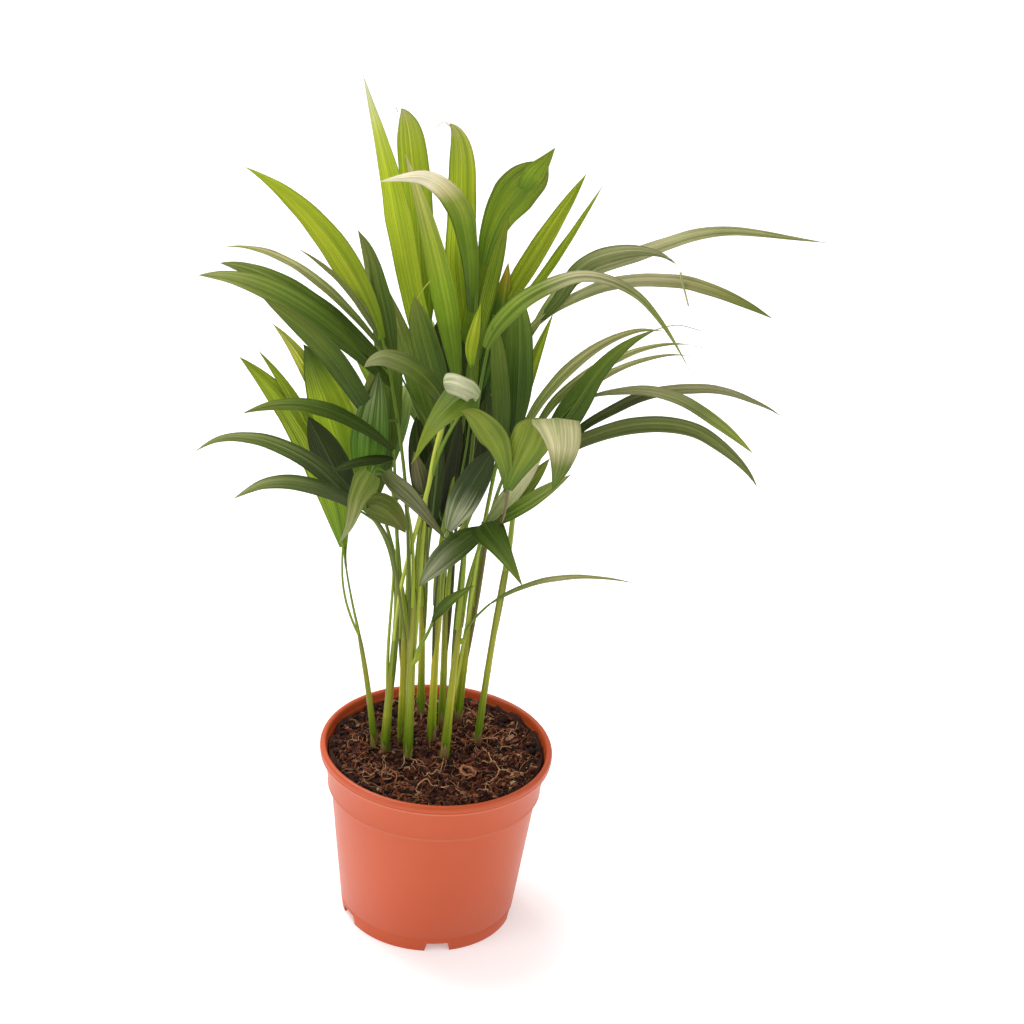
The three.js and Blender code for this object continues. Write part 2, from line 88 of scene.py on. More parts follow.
# %% Camera
CAMERA_AIM = np.array([0.0, 0.0, 90.0])
CAMERA_DISTANCE = 1300.0
CAMERA_HEIGHT_ANGLE = math.radians(32.5)
CAMERA_PITCH = math.radians(26.8)
CAMERA_YAW = math.radians(1.55)
CAMERA_ROLL = math.radians(4.4)
CAMERA_FOCAL_PIXELS = 2500
IMAGE_PIXELS = 1024
SENSOR = 36

back_off = np.array([0.0, -math.cos(CAMERA_HEIGHT_ANGLE), math.sin(CAMERA_HEIGHT_ANGLE)])
eye = CAMERA_AIM + CAMERA_DISTANCE * back_off
ahead = Vector((
    math.sin(CAMERA_YAW) * math.cos(CAMERA_PITCH),
    math.cos(CAMERA_YAW) * math.cos(CAMERA_PITCH),
    -math.sin(CAMERA_PITCH),
))
level_right = ahead.cross(Vector((0, 0, 1))).normalized()
level_up = level_right.cross(ahead)
camera_right = math.cos(CAMERA_ROLL) * level_right + math.sin(CAMERA_ROLL) * level_up
camera_up = math.cos(CAMERA_ROLL) * level_up - math.sin(CAMERA_ROLL) * level_right

camera_data = bpy.data.cameras.new("front_camera")
camera_data.lens = CAMERA_FOCAL_PIXELS / IMAGE_PIXELS * SENSOR
camera_data.sensor_width = SENSOR
camera = bpy.data.objects.new("front_camera", camera_data)
bpy.context.scene.collection.objects.link(camera)
turned = Matrix((camera_right, camera_up, -ahead)).transposed().to_4x4()
camera.matrix_world = Matrix.Translation(Vector(in_frame(eye))) @ turned
bpy.context.scene.camera = camera
print("camera lens", round(camera_data.lens, 1), "mm")

# %% [markdown]
# ## Floor and light
# A plain white floor and a white sky give the soft, nearly shadowless light of a catalogue photograph.
# One large lamp above and behind the plant draws the bright edges on the arching leaves, and weaker ones
# from the left and the right keep the pot round. The colours are shown as they are, without a film look.
# The helper named feed gives a node its inputs: a plain value is written in, an output is linked.

# %% Floor and sky
FLOOR_SIZE = 16
FLOOR_COLOUR = (0.93, 0.93, 0.93, 1)
FLOOR_ROUGHNESS = 0.9
FLOOR_GLOW = 0.3
SKY_STRENGTH = 0.6
WHITE = (1, 1, 1, 1)


def feed(tree, node, inputs):
    for key, value in inputs.items():
        if isinstance(value, bpy.types.NodeSocket):
            tree.links.new(value, node.inputs[key])
        else:
            node.inputs[key].default_value = value


bpy.ops.object.select_all(action="DESELECT")
bpy.ops.mesh.primitive_plane_add(size=FLOOR_SIZE, location=(0, 0, 0))
floor = bpy.context.object
floor.name = "floor"
floor_material = bpy.data.materials.new("white_paper")
floor_material.use_nodes = True
feed(floor_material.node_tree, floor_material.node_tree.nodes["Principled BSDF"], {
    "Base Color": FLOOR_COLOUR,
    "Roughness": FLOOR_ROUGHNESS,
    "Emission Color": WHITE,
    "Emission Strength": FLOOR_GLOW,
})
floor.data.materials.append(floor_material)

world = bpy.data.worlds.new("white_sky")
world.use_nodes = True
feed(world.node_tree, world.node_tree.nodes["Background"], {"Color": WHITE, "Strength": SKY_STRENGTH})
bpy.context.scene.world = world
print("floor", FLOOR_SIZE, "m wide under", world.name)

# %% Lamps
LAMP_AIM = Vector((0, 0, 0.25))


def softbox(name, place, size, watts):
    lamp = bpy.data.lights.new(name, "AREA")
    lamp.size = size
    lamp.energy = watts
    holder = bpy.data.objects.new(name, lamp)
    holder.location = place
    aim = LAMP_AIM - Vector(place)
    holder.rotation_euler = aim.to_track_quat("-Z", "Y").to_euler()
    bpy.context.scene.collection.objects.link(holder)


softbox("high_softbox", (-0.5, 0.5, 1.7), 1.0, 26)
softbox("left_softbox", (-1.5, -0.9, 0.9), 0.9, 9)
softbox("right_softbox", (1.5, -0.6, 0.8), 0.7, 5)
bpy.context.scene.view_settings.view_transform = "Standard"
bpy.context.scene.view_settings.look = "None"

# %% [markdown]
# ## Shared effects as node groups
# Two effects come back in many finishes: the fine parallel veins that run the length of every palm leaf
# and stem, and a soft blotchy change of colour. Each is built once as a node group that gives out only
# masks and heights, and every material places it with its own values.

# %% Node helpers
def add_sockets(group, side, kind, **defaults):
    for name, value in defaults.items():
        made = group.interface.new_socket(name=name, in_out=side, socket_type=kind)
        if value is not None:
            made.default_value = value


def put(tree, kind, inputs=None, **settings):
    made = tree.nodes.new(kind)
    for key, value in settings.items():
        setattr(made, key, value)
    feed(tree, made, inputs or {})
    return made


def calc(tree, operation, first, second=0.0, third=0.0):
    made = put(tree, "ShaderNodeMath", {0: first, 1: second, 2: third}, operation=operation)
    return made.outputs[0]


def clamped(tree, value):
    return put(tree, "ShaderNodeClamp", {0: value}).outputs[0]


def blend(tree, factor, first, second, kind="MIX"):
    inputs = {0: factor, 6: first, 7: second}
    return put(tree, "ShaderNodeMix", inputs, data_type="RGBA", blend_type=kind).outputs[2]


def linear(hex_colour):
    def channel(pair):
        value = int(pair, 16) / 255
        return value / 12.92 if value <= 0.04045 else ((value + 0.055) / 1.055) ** 2.4
    return tuple(channel(hex_colour[i:i + 2]) for i in (1, 3, 5)) + (1.0,)


print("straw in linear light", [round(c, 3) for c in linear("#D9CFA0")])

# %% Node group: parallel veins
FINE_SHARE = 0.45
BROAD_STRETCH = (0.28, 0.6, 1.0)
MIDRIB_SHARPNESS = 45.0
MARGIN_SHARPNESS = 16.0
RIPPLE_SHARE = 0.25


def nearness(tree, distance, sharpness):
    far = calc(tree, "MINIMUM", calc(tree, "MULTIPLY", distance, sharpness), 1.0)
    return calc(tree, "SUBTRACT", 1.0, far)


veins = bpy.data.node_groups.new("parallel veins", "ShaderNodeTree")
add_sockets(veins, "INPUT", "NodeSocketVector", UV=None)
add_sockets(veins, "INPUT", "NodeSocketFloat", Seed=0.0, Lines=30.0, Length=1.5)
add_sockets(veins, "OUTPUT", "NodeSocketFloat", Streaks=None, Midrib=None, Margin=None, Height=None)
given = veins.nodes.new("NodeGroupInput").outputs
split = put(veins, "ShaderNodeSeparateXYZ", {0: given["UV"]})
across = calc(veins, "MULTIPLY", split.outputs[0], given["Lines"])
along = calc(veins, "MULTIPLY", split.outputs[1], given["Length"])
place = put(veins, "ShaderNodeCombineXYZ", {0: across, 1: along, 2: given["Seed"]}).outputs[0]
fine = put(veins, "ShaderNodeTexNoise", {"Vector": place, "Scale": 1.0, "Detail": 3.0})
wide = put(veins, "ShaderNodeVectorMath", {0: place, 1: BROAD_STRETCH}, operation="MULTIPLY")
broad = put(veins, "ShaderNodeTexNoise", {"Vector": wide.outputs[0], "Scale": 1.0, "Detail": 1.0})
broad_part = calc(veins, "MULTIPLY", broad.outputs[0], 1 - FINE_SHARE)
streaks = calc(veins, "MULTIPLY_ADD", fine.outputs[0], FINE_SHARE, broad_part)
off_middle = calc(veins, "ABSOLUTE", calc(veins, "SUBTRACT", split.outputs[0], 0.5))
to_edge = calc(veins, "SUBTRACT", 0.5, off_middle)
ripple = calc(veins, "SINE", calc(veins, "MULTIPLY", across, math.pi))
feed(veins, veins.nodes.new("NodeGroupOutput"), {
    "Streaks": streaks,
    "Midrib": nearness(veins, off_middle, MIDRIB_SHARPNESS),
    "Margin": nearness(veins, to_edge, MARGIN_SHARPNESS),
    "Height": calc(veins, "MULTIPLY_ADD", ripple, RIPPLE_SHARE, streaks),
})
print("group", veins.name, "with", len(veins.nodes), "nodes")

# %% Node group: mottle
mottle = bpy.data.node_groups.new("mottle", "ShaderNodeTree")
add_sockets(mottle, "INPUT", "NodeSocketVector", Place=None)
add_sockets(mottle, "INPUT", "NodeSocketFloat", Size=60.0, Contrast=2.0)
add_sockets(mottle, "OUTPUT", "NodeSocketFloat", Mask=None)
given = mottle.nodes.new("NodeGroupInput").outputs
cloud = put(mottle, "ShaderNodeTexNoise", {"Vector": given["Place"], "Scale": given["Size"], "Detail": 4.0})
centred = calc(mottle, "SUBTRACT", cloud.outputs[0], 0.5)
spread = calc(mottle, "MULTIPLY_ADD", centred, given["Contrast"], 0.5)
feed(mottle, mottle.nodes.new("NodeGroupOutput"), {"Mask": clamped(mottle, spread)})
print("group", mottle.name, "with", len(mottle.nodes), "nodes")

# %% Helpers for finishes
def blotches(tree, size, contrast):
    where = put(tree, "ShaderNodeTexCoord").outputs["Object"]
    inputs = {"Place": where, "Size": size, "Contrast": contrast}
    return put(tree, "ShaderNodeGroup", inputs, node_tree=mottle).outputs["Mask"]


def new_finish(name, coat=0.0, gloss=0.5):
    material = bpy.data.materials.new(name)
    material.use_nodes = True
    tree = material.node_tree
    shader = tree.nodes["Principled BSDF"]
    feed(tree, shader, {"Coat Weight": coat, "Specular IOR Level": gloss})
    return material, tree, shader


def dress(tree, shader, colour, roughness, height, strength, distance):
    relief = put(tree, "ShaderNodeBump", {"Strength": strength, "Distance": distance, "Height": height})
    feed(tree, shader, {"Base Color": colour, "Roughness": roughness, "Normal": relief.outputs[0]})


print("a finish gets its colour, its roughness and a relief")

# %% [markdown]
# ## Leaf, stem and dry finishes
# A palm leaf is satin smooth, with streaks along its length and a paler middle rib. Its base colour is
# dealt out leaflet by leaflet in an attribute named tint, so one material serves the whole crown. The
# alpha of that attribute is not see-through: it says how little painted highlight lies on the pale
# streaks. The stems use the same streaks, wider and stronger, because old sheaths wrap them in pale and
# green bands.

# %% Leaf finish
DEEP_STREAK = (0.55, 0.66, 0.5, 1)
PALE_STREAK = (1.24, 1.18, 1.12, 1)
PAINTED_SHINE_COLOUR = "#CCC6AC"
PAINTED_SHINE_CONTRAST = 9.0
MIDRIB_COLOUR = "#A8AE5C"
MARGIN_COLOUR = "#4A4A20"
BLOTCH_DEPTH = 0.2
ROUGHNESS_SPREAD = 0.2
VEIN_DEPTH = 0.0005


def streaked_finish(name, lines, length, contrast, rib, edge, rough, gloss, bump):
    material, tree, shader = new_finish(name, gloss=gloss)
    uv = put(tree, "ShaderNodeUVMap", uv_map="leaf")
    tint = put(tree, "ShaderNodeAttribute", attribute_name="tint")
    seed = put(tree, "ShaderNodeAttribute", attribute_name="seed")
    inputs = {"UV": uv.outputs[0], "Seed": seed.outputs["Fac"], "Lines": lines, "Length": length}
    vein = put(tree, "ShaderNodeGroup", inputs, node_tree=veins).outputs
    off = calc(tree, "SUBTRACT", vein["Streaks"], 0.5)
    band = clamped(tree, calc(tree, "MULTIPLY_ADD", off, contrast, 0.5))
    deep = blend(tree, 1.0, tint.outputs["Color"], DEEP_STREAK, "MULTIPLY")
    pale = blend(tree, 1.0, tint.outputs["Color"], PALE_STREAK, "MULTIPLY")
    body = blend(tree, band, deep, pale)
    # Painted highlight: a pale sheen colour is mixed onto the pale streaks where the tint's alpha asks for
    # it.
    line = clamped(tree, calc(tree, "MULTIPLY_ADD", off, PAINTED_SHINE_CONTRAST, 0.45))
    painted_shine = calc(tree, "SUBTRACT", 1.0, tint.outputs["Alpha"])
    body = blend(tree, calc(tree, "MULTIPLY", line, painted_shine), body, linear(PAINTED_SHINE_COLOUR))
    blotch = blotches(tree, size=45.0, contrast=2.2)
    shade = calc(tree, "MULTIPLY_ADD", blotch, BLOTCH_DEPTH, 1 - BLOTCH_DEPTH / 2)
    bright = put(tree, "ShaderNodeCombineXYZ", {0: shade, 1: shade, 2: shade})
    body = blend(tree, 1.0, body, bright.outputs[0], "MULTIPLY")
    body = blend(tree, calc(tree, "MULTIPLY", vein["Midrib"], rib), body, linear(MIDRIB_COLOUR))
    body = blend(tree, calc(tree, "MULTIPLY", vein["Margin"], edge), body, linear(MARGIN_COLOUR))
    low_rough = rough - ROUGHNESS_SPREAD / 2
    roughness = calc(tree, "MULTIPLY_ADD", vein["Streaks"], ROUGHNESS_SPREAD, low_rough)
    dress(tree, shader, body, roughness, vein["Height"], bump, VEIN_DEPTH)
    return material


LEAF = streaked_finish(
    "palm_leaf", lines=26.0, length=1.4, contrast=3.0, rib=0.15, edge=0.45, rough=0.44, gloss=0.16, bump=0.5,
)
STEM = streaked_finish(
    "banded_stem", lines=7.0, length=1.0, contrast=4.0, rib=0.0, edge=0.0, rough=0.42, gloss=0.2, bump=0.3,
)
DRY = streaked_finish(
    "dry_sheath", lines=8.0, length=2.0, contrast=2.0, rib=0.0, edge=0.0, rough=0.8, gloss=0.1, bump=0.5,
)
print("finishes", LEAF.name, STEM.name, DRY.name)

# %% [markdown]
# ## Pot
# The pot is injection-moulded terracotta-coloured plastic. It could be one revolved outline, but it is
# easier to see how it is made when each ring is pulled from the last one: foot ring, sloping wall, the
# small ledge of the collar, the rolled lip, and back down the inside to the floor. Each pair in the list
# is the radius and the height of a ring, and the soil hides the inside from the collar down.

# %% Pot body
POT_SIDES = 144
FLOOR_UNDERSIDE = 5.0
POT_RINGS = [
    (42.8, FLOOR_UNDERSIDE), (42.8, 0.0), (45.0, 0.0), (45.1, 0.7), (45.9, 7.1), (45.7, 7.5), (46.0, 7.9),
    (53.5, 74.4), (53.6, 74.8), (55.1, 74.9), (55.35, 75.2), (55.35, 75.6), (55.1, 75.9),
    (55.1, 76.4), (57.4, 92.4), (57.6, 92.8), (59.0, 92.9), (59.7, 93.3),
    (59.75, 94.3), (59.5, 94.6), (59.5, 94.9), (60.0, 95.2), (60.0, 96.8), (59.6, 97.8), (58.7, 98.35),
    (57.9, 98.45), (57.2, 98.0), (56.8, 97.0), (56.3, 94.0), (53.8, 76.0), (52.3, 73.5), (44.4, 6.6),
]


def pulled_shape(name, sides, rings):
    radius, height = rings[0]
    bpy.ops.object.select_all(action="DESELECT")
    bpy.ops.mesh.primitive_circle_add(
        vertices=sides,
        radius=radius * MM,
        fill_type="NGON",
        location=(POT_AXIS.x, POT_AXIS.y, height * MM),
    )
    shape = bpy.context.object
    shape.name = name
    bpy.ops.object.mode_set(mode="EDIT")
    bpy.ops.mesh.select_mode(type="EDGE")
    bpy.ops.mesh.select_all(action="SELECT")
    bpy.ops.mesh.region_to_loop()
    for (last_radius, last_height), (radius, height) in zip(rings, rings[1:]):
        rise = (height - last_height) * MM
        bpy.ops.mesh.extrude_region_move(TRANSFORM_OT_translate={"value": (0, 0, rise)})
        grow = radius / last_radius
        bpy.ops.transform.resize(value=(grow, grow, 1))
    bpy.ops.mesh.edge_face_add()
    bpy.ops.mesh.select_all(action="SELECT")
    bpy.ops.mesh.normals_make_consistent(inside=False)
    bpy.ops.object.mode_set(mode="OBJECT")
    bpy.ops.object.transform_apply(location=True, rotation=True, scale=True)
    return shape


pot = pulled_shape("nursery_pot", POT_SIDES, POT_RINGS)
print("pot faces", len(pot.data.polygons))

# %% [markdown]
# ## Drain notches
# Five notches in the foot ring let water out. Each is cut with a wedge that is narrower at its top, as
# the mould's release needs. A copy of the wedge is turned to its place and subtracted from the pot.

# %% Drain notches
NOTCH_COUNT = 5
NOTCH_FIRST_ANGLE = -81
NOTCH_WIDTH = 15
NOTCH_TOP_SHARE = 0.73
NOTCH_HEIGHT = 5.0
NOTCH_CIRCLE = 44
WEDGE_DEPTH = 8
EDGE_ROUNDING = 0.3
SHARP_EDGE = math.radians(50)
SMOOTH_EDGE = math.radians(40)

for index in range(NOTCH_COUNT):
    turn = math.radians(NOTCH_FIRST_ANGLE + 360 * index / NOTCH_COUNT)
    centre = POT_AXIS + Vector((math.cos(turn), math.sin(turn), 0)) * NOTCH_CIRCLE * MM
    bpy.ops.object.select_all(action="DESELECT")
    bpy.ops.mesh.primitive_cube_add(size=1, location=(centre.x, centre.y, 0), rotation=(0, 0, turn))
    wedge = bpy.context.object
    wedge.scale = (WEDGE_DEPTH * MM, NOTCH_WIDTH * MM, 2 * NOTCH_HEIGHT * MM)
    bpy.ops.object.transform_apply(location=False, rotation=False, scale=True)
    for vertex in wedge.data.vertices:
        if vertex.co.z > 0:
            vertex.co.y *= NOTCH_TOP_SHARE
    cut = pot.modifiers.new("notch", "BOOLEAN")
    cut.operation = "DIFFERENCE"
    cut.solver = "EXACT"
    cut.object = wedge
    bpy.ops.object.select_all(action="DESELECT")
    bpy.context.view_layer.objects.active = pot
    pot.select_set(True)
    bpy.ops.object.modifier_apply(modifier=cut.name)
    bpy.data.objects.remove(wedge)

edge = pot.modifiers.new("soft edges", "BEVEL")
edge.width = EDGE_ROUNDING * MM
edge.segments = 2
edge.limit_method = "ANGLE"
edge.angle_limit = SHARP_EDGE
bpy.ops.object.modifier_apply(modifier=edge.name)
bpy.ops.object.shade_smooth_by_angle(angle=SMOOTH_EDGE)
print("pot faces after the cuts", len(pot.data.polygons))

# %% [markdown]
# ## Pot plastic
# Moulded plastic shows a faint grain and a satin gloss. The colour is nearly even, so it is a base
# colour with soft blotches and a fine grain. A painted highlight is a paler line at the height of each
# ledge, which fades out within a millimetre.

# %% Pot plastic
POT_COLOURS = ("#B8430C", "#C34F17")
GRAIN_COLOUR = "#9E4527"
GRAIN_STRENGTH = 0.12
GRAIN_DEPTH = 0.0003
LEDGE_HIGHLIGHT_COLOUR = "#F0A080"
LEDGE_HIGHLIGHT_REACH = 0.7
LEDGE_HIGHLIGHTS = [(75.7, 0.22), (93.9, 0.3)]

pot_material, tree, shader = new_finish("terracotta_plastic", coat=0.05)
soft = blotches(tree, size=18.0, contrast=1.6)
grain = blotches(tree, size=1400.0, contrast=1.2)
base = blend(tree, soft, *[linear(colour) for colour in POT_COLOURS])
base = blend(tree, calc(tree, "MULTIPLY", grain, GRAIN_STRENGTH), base, linear(GRAIN_COLOUR))
where = put(tree, "ShaderNodeTexCoord").outputs["Object"]
height = put(tree, "ShaderNodeSeparateXYZ", {0: where}).outputs[2]
# Painted highlight: a paler line along each ledge, where the light catches it.
for ledge, highlight in LEDGE_HIGHLIGHTS:
    away = calc(tree, "ABSOLUTE", calc(tree, "SUBTRACT", height, ledge * MM))
    line = clamped(tree, calc(tree, "MULTIPLY_ADD", away, -1 / (LEDGE_HIGHLIGHT_REACH * MM), 1.0))
    base = blend(tree, calc(tree, "MULTIPLY", line, highlight), base, linear(LEDGE_HIGHLIGHT_COLOUR))
roughness = calc(tree, "MULTIPLY_ADD", soft, 0.12, 0.4)
dress(tree, shader, base, roughness, grain, GRAIN_STRENGTH, GRAIN_DEPTH)
pot.data.materials.append(pot_material)
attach(pot, "root")
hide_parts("pot")
print("pot box", [round(c, 4) for c in pot.dimensions])

# %% [markdown]
# ## A heap for many small things
# Crumbs, chips, fibres, stems and leaves are many shapes of one kind. Making an object for each would
# be slow, so they are gathered as plain lists and turned into one mesh. The heap keeps, for each point,
# its place along and across the leaf, its base colour and a number that makes its streaks its own.

# %% Heap of shapes
class Heap:
    def __init__(self):
        self.points = []
        self.faces = []
        self.uv = []
        self.tint = []
        self.seed = []
        self.count = 0

    def add(self, points, faces, uv, tint, seed):
        points = np.asarray(points, float).reshape(-1, 3)
        self.points.append(points)
        self.faces += [tuple(int(i) + self.count for i in face) for face in faces]
        self.uv.append(np.broadcast_to(np.asarray(uv, float), (len(points), 2)))
        self.tint.append(np.broadcast_to(np.asarray(tint, float), (len(points), 4)))
        self.seed.append(np.full(len(points), seed, float))
        self.count += len(points)

    def make(self, name, material, nodes=(), smooth=60):
        mesh = bpy.data.meshes.new(name)
        mesh.from_pydata(in_frame(np.vstack(self.points)).tolist(), [], self.faces)
        mesh.update()
        corners = np.zeros(len(mesh.loops), int)
        mesh.loops.foreach_get("vertex_index", corners)
        mesh.uv_layers.new(name="leaf").data.foreach_set("uv", np.vstack(self.uv)[corners].ravel())
        tint = mesh.attributes.new("tint", "FLOAT_COLOR", "POINT")
        tint.data.foreach_set("color", np.vstack(self.tint).ravel())
        seed = mesh.attributes.new("seed", "FLOAT", "POINT")
        seed.data.foreach_set("value", np.concatenate(self.seed))
        mesh.materials.append(material)
        piece = bpy.data.objects.new(name, mesh)
        bpy.context.scene.collection.objects.link(piece)
        bpy.ops.object.select_all(action="DESELECT")
        bpy.context.view_layer.objects.active = piece
        piece.select_set(True)
        bpy.ops.object.shade_smooth_by_angle(angle=math.radians(smooth))
        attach(piece, "root")
        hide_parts(*nodes)
        print(name, "has", sum(len(face) - 2 for face in self.faces), "triangles")
        return piece


print("a heap gathers points, faces, places, tints and seeds")

# %% [markdown]
# ## Tubes and shades
# Stalks, stems, threads and fibres are all tubes round a path. The tube carries its own sideways
# direction from ring to ring, so that it never twists. Shades mixes a colour from a few stops, each at
# its share of the length.

# %% Tubes and shades
def ring_faces(rings, count):
    faces = []
    for ring in range(rings - 1):
        for i in range(count):
            j = (i + 1) % count
            faces.append((ring * count + i, ring * count + j, (ring + 1) * count + j, (ring + 1) * count + i))
    faces.append(tuple(range(count - 1, -1, -1)))
    faces.append(tuple(range((rings - 1) * count, rings * count)))
    return faces


def tube(heap, path, radii, sides, tint, seed=0.0):
    path = np.asarray(path, float)
    along = unit(np.gradient(path, axis=0))
    side = unit(np.cross(along[0], (0.31, 0.27, 0.91) if abs(along[0][2]) < 0.9 else (0.0, 1.0, 0.0)))
    sides_at = []
    for direction in along:
        side = unit(side - direction * np.dot(side, direction))
        sides_at.append(side)
    sides_at = np.array(sides_at)
    fronts = np.cross(along, sides_at)
    angles = np.linspace(0, 2 * math.pi, sides, endpoint=False)
    radii = np.broadcast_to(np.asarray(radii, float), (len(path),))
    ring = (
        np.cos(angles)[None, :, None] * sides_at[:, None, :]
        + np.sin(angles)[None, :, None] * fronts[:, None, :]
    )
    points = path[:, None, :] + ring * radii[:, None, None]
    share = np.linspace(0, 1, len(path))
    u = np.broadcast_to(0.5 - 0.5 * np.cos(angles), (len(path), sides))
    v = np.broadcast_to(share[:, None], (len(path), sides))
    tint = np.asarray(tint, float)
    if tint.ndim == 2:
        tint = np.repeat(tint, sides, axis=0)
    heap.add(points, ring_faces(len(path), sides), np.stack([u, v], -1).reshape(-1, 2), tint, seed)


def shades(stops, share):
    places = [stop[0] for stop in stops]
    colours = np.array([linear(stop[1]) for stop in stops])
    return np.stack([np.interp(share, places, colours[:, k]) for k in range(4)], -1)


print("a tube of 2 rings and 8 sides has", len(ring_faces(2, 8)), "faces")

# %% [markdown]
# ## Soil
# The potting soil is dark, damp and crumbly, and stands about six millimetres below the rim. First comes
# its ground, a disc pulled inward ring by ring and then raised into lumps. On it lie loose crumbs, chips
# of bark and pale root fibres, because soil is never a smooth sheet when it is seen this close. It is
# banked up a little against the wall, most of all at the right.

# %% Soil ground
SOIL_TOP = 92.0
SOIL_RADIUS = 55.2
SOIL_DEPTH = 10.0
SOIL_RINGS = 60
SOIL_SIDES = 180
WAVE_HEIGHT = 0.35
LUMP_HEIGHT = 2.3
GRIT_HEIGHT = 0.95
BANK_INSIDE = 48
BANK_REACH = 7
BANK_HEIGHT = 0.8
BANK_RIGHT = 1.8


def ground_height(x, y):
    waves = math.sin(x * 0.31 + y * 0.17) + math.sin(y * 0.37 - x * 0.11) + math.sin((x + y) * 0.19)
    lumps = noise.fractal(Vector((x * 0.14, y * 0.14, 3.1)), 0.9, 2.1, 5)
    grit = noise.noise(Vector((x * 0.9, y * 0.9, 7.7))) + 1.7 * noise.noise(Vector((x * 0.34, y * 0.34, 1.3)))
    rim = max(0.0, (math.hypot(x, y) - BANK_INSIDE) / BANK_REACH)
    bank = BANK_HEIGHT + BANK_RIGHT * min(1.0, max(0.0, x / 40))
    return SOIL_TOP + WAVE_HEIGHT * waves + LUMP_HEIGHT * lumps + GRIT_HEIGHT * grit + bank * rim


soil_rings = [(SOIL_RADIUS - 1, SOIL_TOP - SOIL_DEPTH)]
soil_rings += [(SOIL_RADIUS * (1 - ring / SOIL_RINGS), SOIL_TOP) for ring in range(SOIL_RINGS)]
ground = pulled_shape("soil_ground", SOIL_SIDES, soil_rings)
for vertex in ground.data.vertices:
    if vertex.co.z > (SOIL_TOP - 1) * MM:
        x, y = (vertex.co.x - POT_AXIS.x) / MM, (vertex.co.y - POT_AXIS.y) / MM
        vertex.co.z = ground_height(x, y) * MM
bpy.ops.object.shade_smooth()
print("soil ground faces", len(ground.data.polygons))

# %% Soil finish
EARTH_COLOURS = ("#22100A", "#4A281A")
EARTH_DARK = (0.45, 0.42, 0.4, 1)
EARTH_RELIEF = 0.7
EARTH_DEPTH = 0.0006


def earth_finish(name, from_attribute):
    material, tree, shader = new_finish(name, gloss=0.2)
    fine = blotches(tree, size=1100.0, contrast=2.4)
    if from_attribute:
        body = put(tree, "ShaderNodeAttribute", attribute_name="tint").outputs["Color"]
    else:
        coarse = blotches(tree, size=160.0, contrast=2.6)
        body = blend(tree, coarse, *[linear(colour) for colour in EARTH_COLOURS])
    dark = blend(tree, 1.0, body, EARTH_DARK, "MULTIPLY")
    roughness = calc(tree, "MULTIPLY_ADD", fine, 0.25, 0.6)
    dress(tree, shader, blend(tree, fine, dark, body), roughness, fine, EARTH_RELIEF, EARTH_DEPTH)
    return material


ground.data.materials.append(earth_finish("damp_soil", False))
CRUMB = earth_finish("soil_crumb", True)
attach(ground, "root")
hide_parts("soil")
print("soil finishes made")

# %% [markdown]
# ## Crumbs and chips
# One rough crumb is modelled from a small sphere, and thousands of copies of it are scattered, each turned
# and stretched its own way. Chips of bark are the same crumb drawn out long and flat. A fixed seed gives
# the same heap on each run.

# %% Crumbs and chips
CRUMB_COUNT = 5200
CHIP_COUNT = 130
PAINTED_LIGHT_SIDE = 0.4
SCATTER_RADIUS = SOIL_RADIUS - 2
WALL_RADIUS = SOIL_RADIUS - 0.4
CRUMB_COLOURS = ["#28120B", "#432014", "#60331F", "#7E482E", "#9C6344", "#150905", "#C09A76"]
CRUMB_SHARES = [0.22, 0.23, 0.19, 0.12, 0.07, 0.13, 0.04]
CHIP_COLOURS = ["#5A3020", "#7A4634", "#8A5844", "#4A2418", "#A07C60"]

bpy.ops.object.select_all(action="DESELECT")
bpy.ops.mesh.primitive_ico_sphere_add(subdivisions=1, radius=1)
ball = bpy.context.object
CRUMB_POINTS = np.array([v.co[:] for v in ball.data.vertices])
CRUMB_FACES = [tuple(p.vertices) for p in ball.data.polygons]
bpy.data.objects.remove(ball)
rng = np.random.default_rng(11)


def turned_by(rng):
    turn = Matrix.Rotation(rng.uniform(0, 2 * math.pi), 3, "Z")
    tip = Matrix.Rotation(rng.normal(0, 0.5), 3, "X") @ Matrix.Rotation(rng.normal(0, 0.5), 3, "Y")
    return np.array(tip @ turn)


def scatter(heap, count, size_of, colours, shares, stretch, lift):
    for _ in range(count):
        radius = SCATTER_RADIUS * math.sqrt(rng.uniform(0, 1))
        angle = rng.uniform(0, 2 * math.pi)
        x, y = radius * math.cos(angle), radius * math.sin(angle)
        size = size_of()
        shape = CRUMB_POINTS * rng.uniform(0.7, 1.25, (len(CRUMB_POINTS), 1))
        shape = (shape * stretch(rng) * size) @ turned_by(rng).T
        centre = np.array([x, y, ground_height(x, y) + lift * size])
        points = centre + shape
        reach = np.hypot(points[:, 0], points[:, 1])
        points[:, :2] *= np.minimum(1, WALL_RADIUS / reach)[:, None]
        tint = np.array(linear(colours[rng.choice(len(colours), p=shares)]))
        # Painted light: crumbs are lighter towards the right, where more light falls on the soil.
        tint[:3] *= 1 + PAINTED_LIGHT_SIDE * x / SOIL_RADIUS
        heap.add(points, CRUMB_FACES, (0.5, 0.5), tint, rng.uniform(0, 9))


crumbs = Heap()
scatter(
    crumbs, CRUMB_COUNT, lambda: min(2.1, rng.lognormal(-0.4, 0.55)), CRUMB_COLOURS, CRUMB_SHARES,
    lambda rng: np.array([rng.uniform(0.8, 1.5), rng.uniform(0.7, 1.1), rng.uniform(0.5, 0.9)]), 0.25,
)
scatter(
    crumbs, CHIP_COUNT, lambda: rng.uniform(0.8, 1.9), CHIP_COLOURS, None,
    lambda rng: np.array([rng.uniform(1.2, 2.4), rng.uniform(0.4, 0.8), rng.uniform(0.16, 0.3)]), 0.45,
)
crumbs.make("soil_crumbs", CRUMB, ["soil"], smooth=30)

